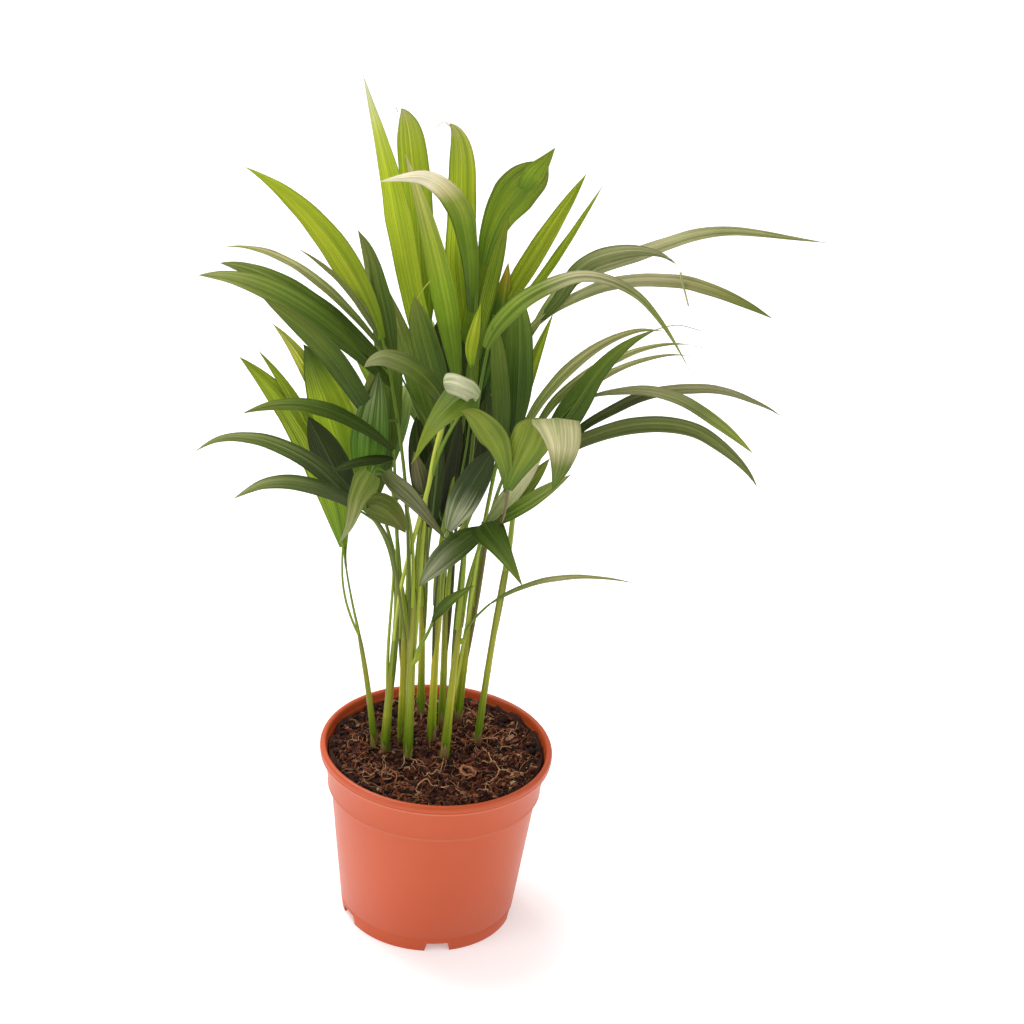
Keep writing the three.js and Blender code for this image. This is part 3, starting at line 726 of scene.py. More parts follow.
# %% [markdown]
# ## Root fibres
# Thin pale roots and coconut fibres lie on the soil in loose bows, with a few longer roots among them and
# one that is coiled up. Each is a thin tube that follows the ground, so it never floats.

# %% Laying a fibre
FIBRE_SIDES = 5
FIBRE_END = 0.45


def smoothed(path, steps):
    path = np.asarray(path, float)
    places = np.linspace(0, len(path) - 1, steps)
    low = np.clip(places.astype(int), 0, len(path) - 2)
    share = (places - low)[:, None]
    before, after = path[np.maximum(low - 1, 0)], path[np.minimum(low + 2, len(path) - 1)]
    start, end = path[low], path[low + 1]
    rise, fall = (end - before) / 2, (after - start) / 2
    return (
        (2 * share**3 - 3 * share**2 + 1) * start + (share**3 - 2 * share**2 + share) * rise
        + (3 * share**2 - 2 * share**3) * end + (share**3 - share**2) * fall
    )


def lay_fibre(heap, path, radius, colour, lift):
    points = [(x, y, ground_height(x, y) + lift) for x, y in path]
    thin = np.linspace(1, FIBRE_END, len(points)) * radius
    tube(heap, points, thin, FIBRE_SIDES, linear(colour), rng.uniform(0, 9))


print("a bow through 3 places:", smoothed([(0, 0), (5, 4), (10, 0)], 5).round(1).tolist())

# %% Root fibres
FIBRE_COUNT = 620
FIBRE_STEPS = 9
FIBRE_CIRCLE = 50
FIBRE_LIMIT = SOIL_RADIUS - 1.5
FIBRE_COLOURS = ["#BC7E60", "#D4A07E", "#98583F", "#743A2A", "#884833", "#AA6A4A", "#602F20"]
LONG_ROOT_RADIUS = 0.34
LONG_ROOT_COLOUR = "#E0AA86"
COIL_X, COIL_Y = 17, -19
COIL_RADIUS = 0.8
COIL_COLOUR = "#B87C5E"
LONG_ROOTS = [
    [(2.5, 12.5), (13, 13), (26, 14), (34, 16), (36, 20)],
    [(34, 16), (40, 24), (42, 30)],
    [(24, 8), (27, 2), (29, -6), (33, -12), (38, -16), (46, -15), (50, -8)],
    [(29, -6), (26, -9), (21, -8)],
    [(33, -12), (32, -20), (28, -26)],
    [(-16, 2), (-16.5, -4), (-16, -12), (-18, -17)],
    [(-4, -24), (2, -18), (4, -10), (3, -4)],
    [(6, -34), (-4, -31), (-9, -36), (-6, -42)],
    [(-34, 6), (-28, 2), (-26, -4)],
]

fibres = Heap()
for _ in range(FIBRE_COUNT):
    radius, angle = FIBRE_CIRCLE * math.sqrt(rng.uniform(0, 1)), rng.uniform(0, 2 * math.pi)
    heading, bend = rng.uniform(0, 2 * math.pi), rng.normal(0, 0.26)
    step = rng.uniform(0.7, 2.6)
    x, y = radius * math.cos(angle), radius * math.sin(angle)
    path = []
    for _ in range(FIBRE_STEPS):
        if math.hypot(x, y) < FIBRE_LIMIT:
            path.append((x, y))
        x, y = x + step * math.cos(heading), y + step * math.sin(heading)
        heading += bend + rng.normal(0, 0.2)
    if len(path) > 3:
        thickness = rng.uniform(0.11, 0.27)
        colour = FIBRE_COLOURS[rng.integers(len(FIBRE_COLOURS))]
        lay_fibre(fibres, path, thickness, colour, rng.uniform(0.7, 1.7))
for path in LONG_ROOTS:
    lay_fibre(fibres, smoothed(path, 24), LONG_ROOT_RADIUS, LONG_ROOT_COLOUR, 1.6)
turns = np.linspace(0.4, 2.3 * math.pi, 30)
coil = [(COIL_X + 4 * math.cos(turn), COIL_Y + 3.4 * math.sin(turn)) for turn in turns]
lay_fibre(fibres, coil, COIL_RADIUS, COIL_COLOUR, 2.0)
fibres.make("root_fibres", DRY, ["soil"])

# %% [markdown]
# ## Stems
# Ten slender stems rise from the soil in one clump. Each swells a little above the ground, leans to its
# own side, and narrows into its petioles at the top. The list gives the foot on the soil, the tip as it
# shows from the front, and the two radii. The swelling and three faint rings, where old sheaths sat, are
# drawn into the radius itself.

# %% Stems, as a list
GAP = 0.3
STEM_LEAN = 0.35
STEMS = [
    ("stem_1", [-32, 3], [-43, 162, 0], [2.1, 1.3]),
    ("stem_2", [-26.5, -2], [-25, 147, 0], [2.7, 2.2]),
    ("stem_3", [-18.5, 9], [-20, 168, 12], [2.3, 1.9]),
    ("stem_4", [-14.5, -6], [-16, 187, -8], [2.8, 2.1]),
    ("stem_5", [-9.5, 36], [-12, 188, 36], [2.3, 1.9]),
    ("stem_6", [-3, 11], [-4, 188, 12], [2.5, 2.0]),
    ("stem_7", [2, 24], [0, 189, 24], [2.3, 1.9]),
    ("stem_8", [4.5, -4.5], [8, 176, -4], [2.6, 2.0]),
    ("stem_9", [10, 30], [14, 190, 28], [2.6, 2.0]),
    ("stem_10", [21, 11], [29, 208, 10], [2.2, 1.7]),
]


def bezier(points, share):
    share = np.asarray(share, float)[:, None]
    if len(points) == 3:
        a, b, c = points
        return (1 - share) ** 2 * a + 2 * share * (1 - share) * b + share**2 * c
    a, b, c, d = points
    back = 1 - share
    return back**3 * a + 3 * back**2 * share * b + 3 * back * share**2 * c + share**3 * d


def stem_points(stem):
    _, foot, tip, _ = stem
    start = np.array([foot[0], foot[1], SOIL_TOP + GAP])
    end = seen(*tip)
    middle = (start + end) / 2
    middle[:2] = start[:2] + STEM_LEAN * (end[:2] - start[:2])
    return start, middle, end


print("stems", len(STEMS))

# %% Stem surfaces
STEM_SIDES = 24
STEM_STATIONS = 70
STEM_SLIMNESS = 0.84
STEM_TAPER = 12.0
STEM_TOP_SHARE = 0.66
FOOT_DEPTH = 2.5
FOOT_PINCH = 0.3
FOOT_REACH = 3.0
SWELLING = 0.12
SWELLING_AT = 14
SWELLING_REACH = 12
RING_SWELLING = 0.07
RING_REACH = 0.9
STEM_TINTS = [
    (0, "#8E7048"), (0.012, "#8A8240"), (0.045, "#6A8C1C"), (0.18, "#7E9420"),
    (0.42, "#A6A632"), (0.75, "#9C9834"), (1, "#80802E"),
]


def stem_shades(share, lean):
    return shades(STEM_TINTS, share) * np.array([1 + 0.14 * lean, 1 + 0.1 * lean, 1, 1])


stems = Heap()
for number, stem in enumerate(STEMS):
    wide, narrow = stem[3]
    share = np.linspace(0, 1, STEM_STATIONS)
    path = bezier(stem_points(stem), share)
    path[0, 2] -= FOOT_DEPTH
    height = np.linalg.norm(path - path[0], axis=1)
    total = height[-1]
    radius = STEM_SLIMNESS * (wide + (narrow - wide) * share)
    radius = radius * (1 + SWELLING * np.exp(-((height - SWELLING_AT) / SWELLING_REACH) ** 2))
    radius = radius * (1 - FOOT_PINCH * np.exp(-height / FOOT_REACH))
    for ring_share in (0.16 + 0.02 * number % 0.07, 0.42, 0.7):
        radius = radius * (1 + RING_SWELLING * np.exp(-((height - total * ring_share) / RING_REACH) ** 2))
    top = np.clip((height - (total - STEM_TAPER)) / STEM_TAPER, 0, 1)
    radius = radius * (1 - (1 - STEM_TOP_SHARE) * top**1.5)
    tube(stems, path, radius, STEM_SIDES, stem_shades(share, number % 3 - 1), seed=number * 1.7)
stems.make("banded_stems", STEM, [row[0] for row in STEMS])

# %% [markdown]
# ## Petioles and ribs
# Every frond has a thin stalk that leaves the top of its stem, bends, and runs on as the rib that
# carries the leaflets. The curve is the same one that the solid was made from: it starts on its seat in
# the stem's tip, rises along the stem, and then bends to the end of the rib. Here it starts a little
# lower, inside the stem, so that no gap shows where the two meet.
#
# Each row of the list gives the frond, its stem, its seat on the side of that stem (or None at the top),
# the bend and the end of its rib, the way its leaflets face, and the leaflets. Each leaflet has its share
# of the rib, the place of its tip, its bow to the right and up, its width, how blunt it is and its tint.

# %% Fronds, as a list
FRONDS = [
    ("frond_tall", "stem_5", None, [-8, 245, 36], [-1, 300, 22], [-0.9, 0.6], [
        (1.0, -32, 415, 28, 6, 4, 12, 1.7, "tan_tip"),
    ]),
    ("frond_high", "stem_6", None, [10, 290, 36], [4, 370, 32], [-0.9, 0.6], [
        (0.62, 8, 344, 14, 0, 0, 5, 2, "fresh"),
    ]),
    ("frond_right_rear", "stem_7", None, [8, 265, 44], [14, 338, 46], [-0.8, 0.7], [
        (0.98, 52, 411, 52, -1, 1, 10, 2.2, "sunlit"),
        (0.92, 60, 406, 68, 2, -3, 5, 2, "bright"),
        (0.74, 19, 365, 48, 3, 0, 13, 2.4, "amber_tip"),
    ]),
    ("frond_right_long", "stem_9", None, [20, 270, 28], [32, 329, 22], [-0.5, 0.9], []),
    ("frond_right_arch", "stem_8", None, [4, 270, -10], [14, 332, -14], [-0.6, 0.8], []),
    ("frond_centre_dark", "stem_6", None, [10, 232, 8], [28, 276, 8], [-0.95, 0.3], [
        (1.0, 24, 352, 12, 3, 4, 14, 3, "forest"),
        (0.9, 14, 337, -2, 2, 4, 9, 2.5, "deep"),
        (0.96, 42, 341, 20, -4, -3, 7, 2, "bright"),
    ]),
    ("frond_right_middle", "stem_10", None, [24, 292, 12], [50, 273, 4], [-0.6, 0.8], []),
    ("frond_front", "stem_9", None, [23, 254, -2], [27, 259, -48], [-0.2, 1], []),
    ("frond_front_upper", "stem_4", None, [-14, 264, -24], [7, 295, -32], [-0.2, 1], []),
    ("frond_left_upper", "stem_3", None, [-18, 240, 14], [-38, 322, 2], [-0.6, 0.8], [
        (1.0, -105, 403, 12, 9, 22, 14.5, 1.7, "sunlit"),
        (0.97, -114, 363, 30, -4, 32, 4.8, 2.0, "olive"),
        (0.98, -80, 365, -4, 6, 10, 3.5, 2, "moss"),
        (0.94, -116, 355, 8, -10, 24, 12, 2.2, "verdant"),
        (0.9, -126, 348, -14, -6, 32, 13, 2.2, "mid"),
    ]),
    ("frond_left_split", "stem_1", None, [-49, 185, -2], [-53, 214, -6], [-0.9, 0.5], [
        (0.94, -106, 308, -16, 16, 14, 16, 2.2, "bright"),
        (0.94, -97, 312, -14, 12, 12, 8, 2.2, "bright"),
    ]),
    ("frond_left_striped", "stem_3", None, [-28, 212, 22], [-38, 243, 24], [-0.9, 0.5], [
        (1.0, -42, 306, 16, 0, 0, 16, 3, "deep"),
        (0.96, -52, 376, 36, 20, 6, 13, 2.4, "mid"),
    ]),
    ("frond_left_middle", "stem_2", None, [-25, 215, -10], [-30, 264, -16], [-0.5, 0.9], [
        (1.0, -104, 278, -36, 0, 26, 9, 2.2, "deep"),
        (0.97, -60, 250, -42, 0, 4, 6, 2.2, "dark"),
    ]),
    ("frond_left_dark", "stem_2", None, [-23, 220, 0], [-50, 236, -18], [-0.9, 0.5], [
        # Painted shade: a dark blade behind the left leaves, in the shade of the crown.
        (1.0, -72, 279, -20, 0, 0, 16, 2.4, "gloom"),
        (0.94, -22, 219, -30, 3, 10, 14, 2.2, "bronze"),
    ]),
    ("frond_left_low", "stem_4", None, [-26, 268, -32], [-48, 243, -42], [-0.4, 0.9], []),
    ("frond_centre_left", "stem_5", None, [-12, 235, 8], [-5, 290, -7], [-0.9, 0.5], [
        (0.97, -24, 345, -8, -4, 6, 14, 2.4, "deep"),
        (0.84, -37, 348, 34, 0, 0, 11, 2.2, "mid"),
    ]),
    ("frond_centre_back", "stem_7", None, [2, 208, 20], [3, 226, 24], [-0.95, 0.3], [
        # Painted shade: dark blades behind the centre of the crown.
        (1.0, -18, 306, 22, 0, 0, 10, 3, "dark"),
        (0.97, 14, 298, 26, 4, 0, 14, 3, "dark"),
    ]),
    ("frond_low_silver", "stem_6", None, [-4, 208, -4], [-1, 222, -16], [-0.9, 0.5], [
        (1.0, 19, 268, -28, -1, 3, 15, 2.6, "moonlit"),
    ]),
    ("frond_low_centre", "stem_8", None, [15, 214, -4], [17.5, 227, -11], [-0.7, 0.7], [
        (0.94, -14, 189, -44, -3, 6, 13, 2.2, "moonlit_tip"),
        (1.0, 43, 270, -16, 1, -1, 9, 2.2, "silver"),
        (1.0, 46, 265, 4, 3, 0, 9, 2.2, "deep"),
        (0.96, 57, 257, -28, 0, -1, 8, 2.2, "mid"),
    ]),
    ("leaf_low_dark", "stem_4", [0.62, -50], [-8, 160, -14], [-6, 170, -18], [-0.7, 0.7], [
        (1.0, 14, 192, -22, -4, 3, 5.5, 2, "deep"),
    ]),
    ("leaf_low_thin", "stem_8", [0.84, -20], [13, 172, -6], [22, 182, -8], [-0.6, 0.8], [
        (1.0, 94, 199, -14, -8, 17, 3, 2, "olive"),
    ]),
    ("frond_rear_left", "stem_3", None, [-28, 230, 40], [-35, 285, 64], [0, 1], [
        (1.0, -58, 318, 104, 0, 25, 11, 2.2, "fresh"),
        (0.95, -38, 330, 126, 0, 25, 12, 2.2, "mid"),
        (0.85, -66, 292, 96, 0, 20, 11, 2.2, "fresh"),
        (0.8, -24, 300, 120, 0, 20, 11, 2.2, "mid"),
    ]),
    ("frond_rear_middle", "stem_5", None, [-12, 240, 54], [-12, 290, 78], [0, 1], [
        (1.0, -20, 338, 150, 0, 20, 12, 2.2, "mid"),
        (0.96, 0, 330, 152, 0, 20, 12, 2.2, "fresh"),
        (0.85, -28, 290, 140, 0, 20, 11, 2.2, "mid"),
        (0.8, 8, 292, 138, 0, 20, 11, 2.2, "fresh"),
    ]),
    ("frond_rear_right", "stem_7", None, [14, 235, 50], [20, 285, 74], [0, 1], [
        (1.0, 26, 330, 134, 0, 20, 12, 2.2, "fresh"),
        (0.95, 14, 318, 150, 0, 20, 11, 2.2, "mid"),
        (0.85, 36, 284, 122, 0, 20, 11, 2.2, "mid"),
        (0.8, 22, 262, 136, 0, 20, 11, 2.2, "fresh"),
    ]),
]
print("fronds", len(FRONDS), "with", sum(len(row[6]) for row in FRONDS), "leaflets")

# %% [markdown]
# ## Seats of the petioles
# A stem that carries several fronds gives each a seat of its own, turned round its tip towards the side
# where the frond leans. A small low leaf sits on the side of its stem instead.

# %% Seats of the petioles
PETIOLE_FOOT = 1.15
PETIOLE_RISE = 0.45
SEAT_OFFSET = 1.6


def stem_direction(stem, share):
    start, middle, end = stem_points(stem)
    return unit(2 * (1 - share) * (middle - start) + 2 * share * (end - middle))


def seats_of(stem):
    curve = stem_points(stem)
    tip = curve[2]
    up = stem_direction(stem, 1.0)
    seats = {}
    top_fronds = []
    for row in FRONDS:
        if row[1] != stem[0]:
            continue
        if row[2]:
            share, turn = row[2]
            out = np.array([math.cos(math.radians(turn)), math.sin(math.radians(turn)), 0])
            clear = stem[3][0] + (stem[3][1] - stem[3][0]) * share + PETIOLE_FOOT + GAP
            seats[row[0]] = bezier(curve, [share])[0] + out * clear
        else:
            reach = seen(*row[3]) - tip
            top_fronds.append((math.atan2(reach[1], reach[0]), row[0]))
    top_fronds.sort()
    offset = SEAT_OFFSET if len(top_fronds) > 1 else 0
    for order, (_, name) in enumerate(top_fronds):
        angle = top_fronds[0][0] + 2 * math.pi * order / len(top_fronds)
        out = np.array([math.cos(angle), math.sin(angle), 0])
        out = out - up * np.dot(out, up)
        seats[name] = tip + up * GAP + out * offset
    return seats, up


def rib_points(row, seat, up):
    bend = seen(*row[3])
    rise = np.linalg.norm(seat - bend) * PETIOLE_RISE
    return seat, seat + up * rise, bend, seen(*row[4])


print("seats on stem_4:", sorted(seats_of(STEMS[3])[0]))

# %% Petioles and ribs
PETIOLE_TIP = 0.75
PETIOLE_FLARE = 0.25
PETIOLE_ROOT = 9.0
SIDE_ROOT_SHARE = 0.06
PETIOLE_SIDES = 12
PETIOLE_STATIONS = 44
LOW_COLOUR = "#8C9A2C"
HIGH_COLOUR = "#6A8222"
SLIM_PETIOLES = {"frond_left_split": 0.6, "leaf_low_thin": 0.7, "frond_left_low": 0.7}
PETIOLE_PAINTED_SHADE = {"frond_left_low": 0.45, "frond_right_arch": 0.75}

RIBS = {}
petioles = Heap()
petiole_rng = np.random.default_rng(5)
for stem in STEMS:
    seats, up = seats_of(stem)
    for row in FRONDS:
        if row[0] not in seats:
            continue
        rib = rib_points(row, seats[row[0]], up)
        RIBS[row[0]] = rib
        share = np.linspace(0, 1, PETIOLE_STATIONS)
        path = bezier(rib, share)
        radius = PETIOLE_FOOT + PETIOLE_FLARE * (1 - share) ** 4 + (PETIOLE_TIP - PETIOLE_FOOT) * share
        radius = radius * SLIM_PETIOLES.get(row[0], 1)
        root = rib[0] - up * PETIOLE_ROOT
        if row[2]:
            root = bezier(stem_points(stem), [row[2][0] - SIDE_ROOT_SHARE])[0]
        path = np.vstack([root, path])
        radius = np.concatenate([[radius[0] * 0.9], radius])
        share = np.concatenate([[0], share])
        low = np.array(linear(LOW_COLOUR))
        high = np.array(linear(HIGH_COLOUR))
        # Painted shade: petioles that run in the shade of the leaves are darkened towards their ribs.
        high[:3] *= PETIOLE_PAINTED_SHADE.get(row[0], 1)
        colour = low + (high - low) * np.clip(share * 1.3, 0, 1)[:, None]
        tube(petioles, path, radius, PETIOLE_SIDES, colour, petiole_rng.uniform(0, 9))
petioles.make("petioles", STEM, [row[0] for row in FRONDS])

# %% [markdown]
# ## Thinner stalks
# More stalks than that rise in the clump: young and old ones that leave a stem low down and run up
# beside it into the leaves. Each starts inside its stem and ends on the rib of a frond, so it is held at
# both ends. Their tints go from yellow to a brownish olive, which gives the clump its stripes; the
# darkest of them also stand in as painted shade in the gaps between the stems.

# %% Thinner stalks
STALKS = [
    ("stem_1", 0.95, "frond_left_split", 0.97, -6, 0.6, "#8C9A2C"),
    ("stem_2", 0.35, "frond_left_middle", 0.55, 3, 0.9, "#6A7420"),
    ("stem_2", 0.5, "frond_left_dark", 0.5, -4, 0.8, "#A0A834"),
    ("stem_3", 0.5, "frond_left_striped", 0.6, -3, 0.8, "#5E6A20"),
    ("stem_3", 0.3, "frond_left_upper", 0.5, 3, 1.0, "#B0B440"),
    ("stem_4", 0.45, "frond_front_upper", 0.5, 3, 0.9, "#9AA430"),
    ("stem_4", 0.6, "frond_left_low", 0.45, -3, 0.8, "#5C6A1C"),
    ("stem_5", 0.5, "frond_centre_left", 0.5, 3, 0.8, "#6A7424"),
    ("stem_6", 0.4, "frond_low_silver", 0.8, -3, 0.7, "#4E5A1C"),
    ("stem_6", 0.5, "frond_high", 0.4, 3, 0.9, "#A0A838"),
    ("stem_7", 0.45, "frond_centre_back", 0.8, 3, 0.8, "#4A4A22"),
    ("stem_8", 0.3, "frond_low_centre", 0.7, 4, 0.9, "#9AA838"),
    ("stem_8", 0.5, "frond_right_arch", 0.35, -3, 0.8, "#525A20"),
    ("stem_9", 0.4, "frond_front", 0.4, 3, 1.2, "#6A6430"),
    ("stem_9", 0.55, "frond_right_long", 0.4, -3, 0.8, "#8C9A30"),
    ("stem_10", 0.5, "frond_right_middle", 0.4, 3, 0.8, "#7A8A2C"),
]
STALK_SIDES = 8
STALK_STATIONS = 30
STALK_RISE = 0.4
STALK_ALONG_RIB = 0.25
stalks = Heap()
stem_rows = {row[0]: row for row in STEMS}
for stem_name, low, frond_name, high, bow, radius, colour in STALKS:
    stem = stem_rows[stem_name]
    start = bezier(stem_points(stem), [low])[0]
    end = bezier(RIBS[frond_name], [high])[0]
    rise = np.linalg.norm(end - start)
    turn = start + stem_direction(stem, low) * rise * STALK_RISE + np.array([bow, 0, 0])
    into = bezier(RIBS[frond_name], [max(0, high - STALK_ALONG_RIB)])[0] + np.array([bow / 2, 0, 0])
    share = np.linspace(0, 1, STALK_STATIONS)
    thin = radius * (1.15 - 0.35 * share)
    path = bezier((start, turn, into, end), share)
    tube(stalks, path, thin, STALK_SIDES, linear(colour), petiole_rng.uniform(0, 9))
stalks.make("thin_stalks", STEM, [row[0] for row in FRONDS])

# %% [markdown]
# ## Tints of the leaflets
# The tints run from root to tip. Beside the leaves' own colours they hold painted light and shade: sunlit
# leaves get a yellowish painted light, those in the shade of the crown a deep green painted shade, and a
# few tips are dry. Where a leaf bends into the light, a painted highlight lies on its pale streaks. How
# strong it is at five places from root to tip is a second list, which goes with the tint.

# %% Tints of the leaflets
# Painted light and shade: the sunlit and other yellowish tints of the top leaves paint light, the darkest
# tints paint shade, and the grey-tan and silver stops paint the sheen of leaves that arch into the light.
TINTS = {
    "sunlit": [(0, "#6C861A"), (0.25, "#8E9C1E"), (0.6, "#9BA627"), (0.96, "#98A426"), (1, "#9A9838")],
    "lime": [(0, "#6E8A1C"), (0.3, "#98AA22"), (0.8, "#A6B42C"), (0.93, "#AEB648"), (1, "#BCB484")],
    "pale_tip": [
        (0, "#74901E"), (0.3, "#9CAC22"), (0.66, "#AAB82A"), (0.8, "#B8C050"), (0.9, "#D2D498"),
        (1, "#E6E4CC"),
    ],
    "tan_tip": [(0, "#5A781A"), (0.4, "#86A026"), (0.62, "#9EAC38"), (0.82, "#C0C068"), (1, "#D8C89A")],
    "shade_tip": [
        (0, "#6E8A1C"), (0.3, "#98B028"), (0.6, "#A2B22E"), (0.76, "#748628"), (0.88, "#56681E"),
        (1, "#4A5A1C"),
    ],
    "yellow": [(0, "#8A9A24"), (0.5, "#B4BC3C"), (1, "#CAC468")],
    "curled": [(0, "#4C6414"), (0.4, "#65751D"), (0.9, "#727E24"), (1, "#767C2A")],
    "striped": [(0, "#4A6E14"), (0.5, "#4E7218"), (0.8, "#4A6418"), (1, "#445418")],
    "moonlit": [
        (0, "#5A6648"), (0.2, "#747C5A"), (0.32, "#4E5A32"), (0.45, "#324218"), (0.65, "#2A3810"),
        (1, "#28360E"),
    ],
    "moonlit_tip": [(0, "#3C5016"), (0.4, "#4A5C1E"), (0.7, "#66704A"), (0.9, "#7C8260"), (1, "#5A6440")],
    "bronze": [(0, "#4C5A1C"), (0.5, "#606A26"), (1, "#6A6634")],
    "gloom": [(0, "#24300E"), (0.5, "#2C3810"), (1, "#343F16")],
    "curl": [(0, "#8A9A60"), (0.3, "#B0B48C"), (0.7, "#C6C6A8"), (1, "#A4A884")],
    "husk": [(0, "#4E3222"), (0.4, "#7A5A3C"), (1, "#B89C78")],
    "husk_green": [(0, "#6E5A34"), (0.5, "#8A8440"), (1, "#A8A060")],
    "bright": [(0, "#5C7A18"), (0.4, "#7E911E"), (0.9, "#879722"), (1, "#8A8E2C")],
    "leafy": [(0, "#5A7818"), (0.35, "#768C1E"), (0.65, "#6E821C"), (1, "#7C8828")],
    "fresh": [(0, "#4E6816"), (0.4, "#6A7C20"), (0.9, "#788624"), (1, "#7A822C")],
    "mid": [(0, "#445614"), (0.35, "#556C1A"), (0.65, "#728234"), (0.9, "#868C4A"), (1, "#8A8A50")],
    "dusty": [(0, "#5A6A20"), (0.35, "#64702A"), (0.6, "#7E824A"), (0.9, "#929468"), (1, "#8C8C60")],
    "deep": [(0, "#364A10"), (0.4, "#475C18"), (0.75, "#5C6C22"), (0.92, "#6A742C"), (1, "#707638")],
    "forest": [(0, "#344A10"), (0.4, "#415A17"), (0.75, "#576C21"), (0.92, "#68742C"), (1, "#707638")],
    "dark": [(0, "#2A360E"), (0.5, "#364414"), (0.95, "#3E4C1C"), (1, "#4A5220")],
    "umber": [(0, "#1C2410"), (0.4, "#2A2F16"), (0.8, "#333A18"), (1, "#3C4018")],
    "brownish": [(0, "#4A4A2C"), (0.6, "#5E5A3C"), (1, "#6E6442")],
    "arch": [
        (0, "#5A6E1C"), (0.2, "#647820"), (0.33, "#6C7A2C"), (0.43, "#9A9670"), (0.52, "#9C9670"),
        (0.64, "#767848"), (0.78, "#7C843E"), (0.9, "#8E944C"), (1, "#84903A"),
    ],
    "straw": [
        (0, "#7C8A44"), (0.25, "#8E9460"), (0.45, "#A29E74"), (0.7, "#8C8C5C"), (0.9, "#8A8A50"),
        (1, "#8C8450"),
    ],
    "ash": [(0, "#44581C"), (0.45, "#5E6A32"), (0.62, "#727644"), (0.8, "#7E8052"), (1, "#86865C")],
    "reed": [
        (0, "#8A9050"), (0.3, "#8E9060"), (0.55, "#948E68"), (0.75, "#84844E"), (0.9, "#6C7434"),
        (1, "#646E2C"),
    ],
    "reed_tip": [(0, "#6E6C48"), (0.4, "#84845C"), (0.65, "#727A44"), (0.85, "#8A9244"), (1, "#969E3C")],
    "dusk": [(0, "#3C4A1A"), (0.35, "#44491C"), (0.5, "#74764A"), (0.65, "#84825C"), (1, "#7A7A50")],
    "deep_moss": [(0, "#4E582A"), (0.5, "#58602C"), (0.8, "#6A7040"), (1, "#6C7440")],
    "shadow_tip": [(0, "#364619"), (0.3, "#435220"), (0.6, "#5C6A2C"), (0.85, "#7C8448"), (1, "#868A50")],
    "dun": [(0, "#565E2E"), (0.5, "#60643E"), (1, "#5A5A38")],
    "lobe": [(0, "#4E5E1C"), (0.45, "#5C6C24"), (0.68, "#747C44"), (0.85, "#84885A"), (1, "#8E9062")],
    "verdant": [(0, "#44581A"), (0.5, "#566A22"), (0.85, "#6E7836"), (1, "#7E824A")],
    "moss": [(0, "#4E6026"), (0.35, "#6C7434"), (0.8, "#7C7E40"), (1, "#7A783C")],
    "olive": [
        (0, "#5E7232"), (0.3, "#7E8446"), (0.55, "#9C9866"), (0.8, "#97945A"), (0.96, "#8C8A44"),
        (1, "#8A803E"),
    ],
    "cream_tip": [
        (0, "#587416"), (0.45, "#667E1C"), (0.6, "#7E8A34"), (0.69, "#C8BC90"), (0.76, "#EADFC2"),
        (1, "#F2E8D2"),
    ],
    "amber_tip": [(0, "#3C5C13"), (0.72, "#4E6A17"), (0.84, "#8A8C22"), (0.93, "#B89C30"), (1, "#9E8C34")],
    "silver": [(0, "#62743A"), (0.3, "#9EA26C"), (0.7, "#CAC2A0"), (0.95, "#BCB28C"), (1, "#9C9064")],
    "glare": [
        (0, "#969668"), (0.12, "#B4AC84"), (0.42, "#BEB48E"), (0.55, "#A49E70"), (0.68, "#6A7630"),
        (1, "#56701E"),
    ],
}
# Painted highlight: how much pale sheen is painted on the streaks at five places from root to tip.
PAINTED_SHINE = {
    "curl": (0.3, 0.4, 0.4, 0.3, 0.2),
    "moonlit": (0.35, 0.4, 0, 0, 0),
    "moonlit_tip": (0, 0, 0.1, 0.35, 0.2),
    "striped": (0, 0, 0.08, 0.2, 0.12),
    "dusty": (0, 0.03, 0.08, 0.1, 0.08),
    "dun": (0.04, 0.12, 0.1, 0.05, 0),
    "ash": (0, 0, 0.06, 0.12, 0.1),
    "dusk": (0, 0, 0.08, 0.08, 0.05),
    "straw": (0, 0.05, 0.12, 0.08, 0),
    "reed": (0, 0.08, 0.12, 0.04, 0),
    "shadow_tip": (0.02, 0.04, 0.06, 0.1, 0.08),
    "moss": (0.03, 0.12, 0.1, 0.06, 0),
    "olive": (0, 0.06, 0.1, 0.08, 0.03),
    "arch": (0, 0.04, 0.15, 0.08, 0),
    "mid": (0, 0, 0.02, 0.05, 0.06),
    "silver": (0.05, 0.15, 0.2, 0.2, 0.1),
    "glare": (0.05, 0.12, 0.15, 0.1, 0),
}
print("tints", sorted(TINTS))

# %% [markdown]
# ## Traced and hidden leaflets
# Some leaflets turn over, hang in front of the clump or arch far out at the side, and a single bow can't
# describe them. They are drawn through several places instead, each written as it shows from the front. A
# few dark ones stand in the middle of the crown as painted shade, where the leaves overlap and little light
# comes through.
#
# Each row gives the frond, the places, the width, the profile, the way the blade faces and its tint. The
# profile says how blunt the blade is on its left and right, and can go on with where it is widest, how
# wide its root is and how its sides swell.

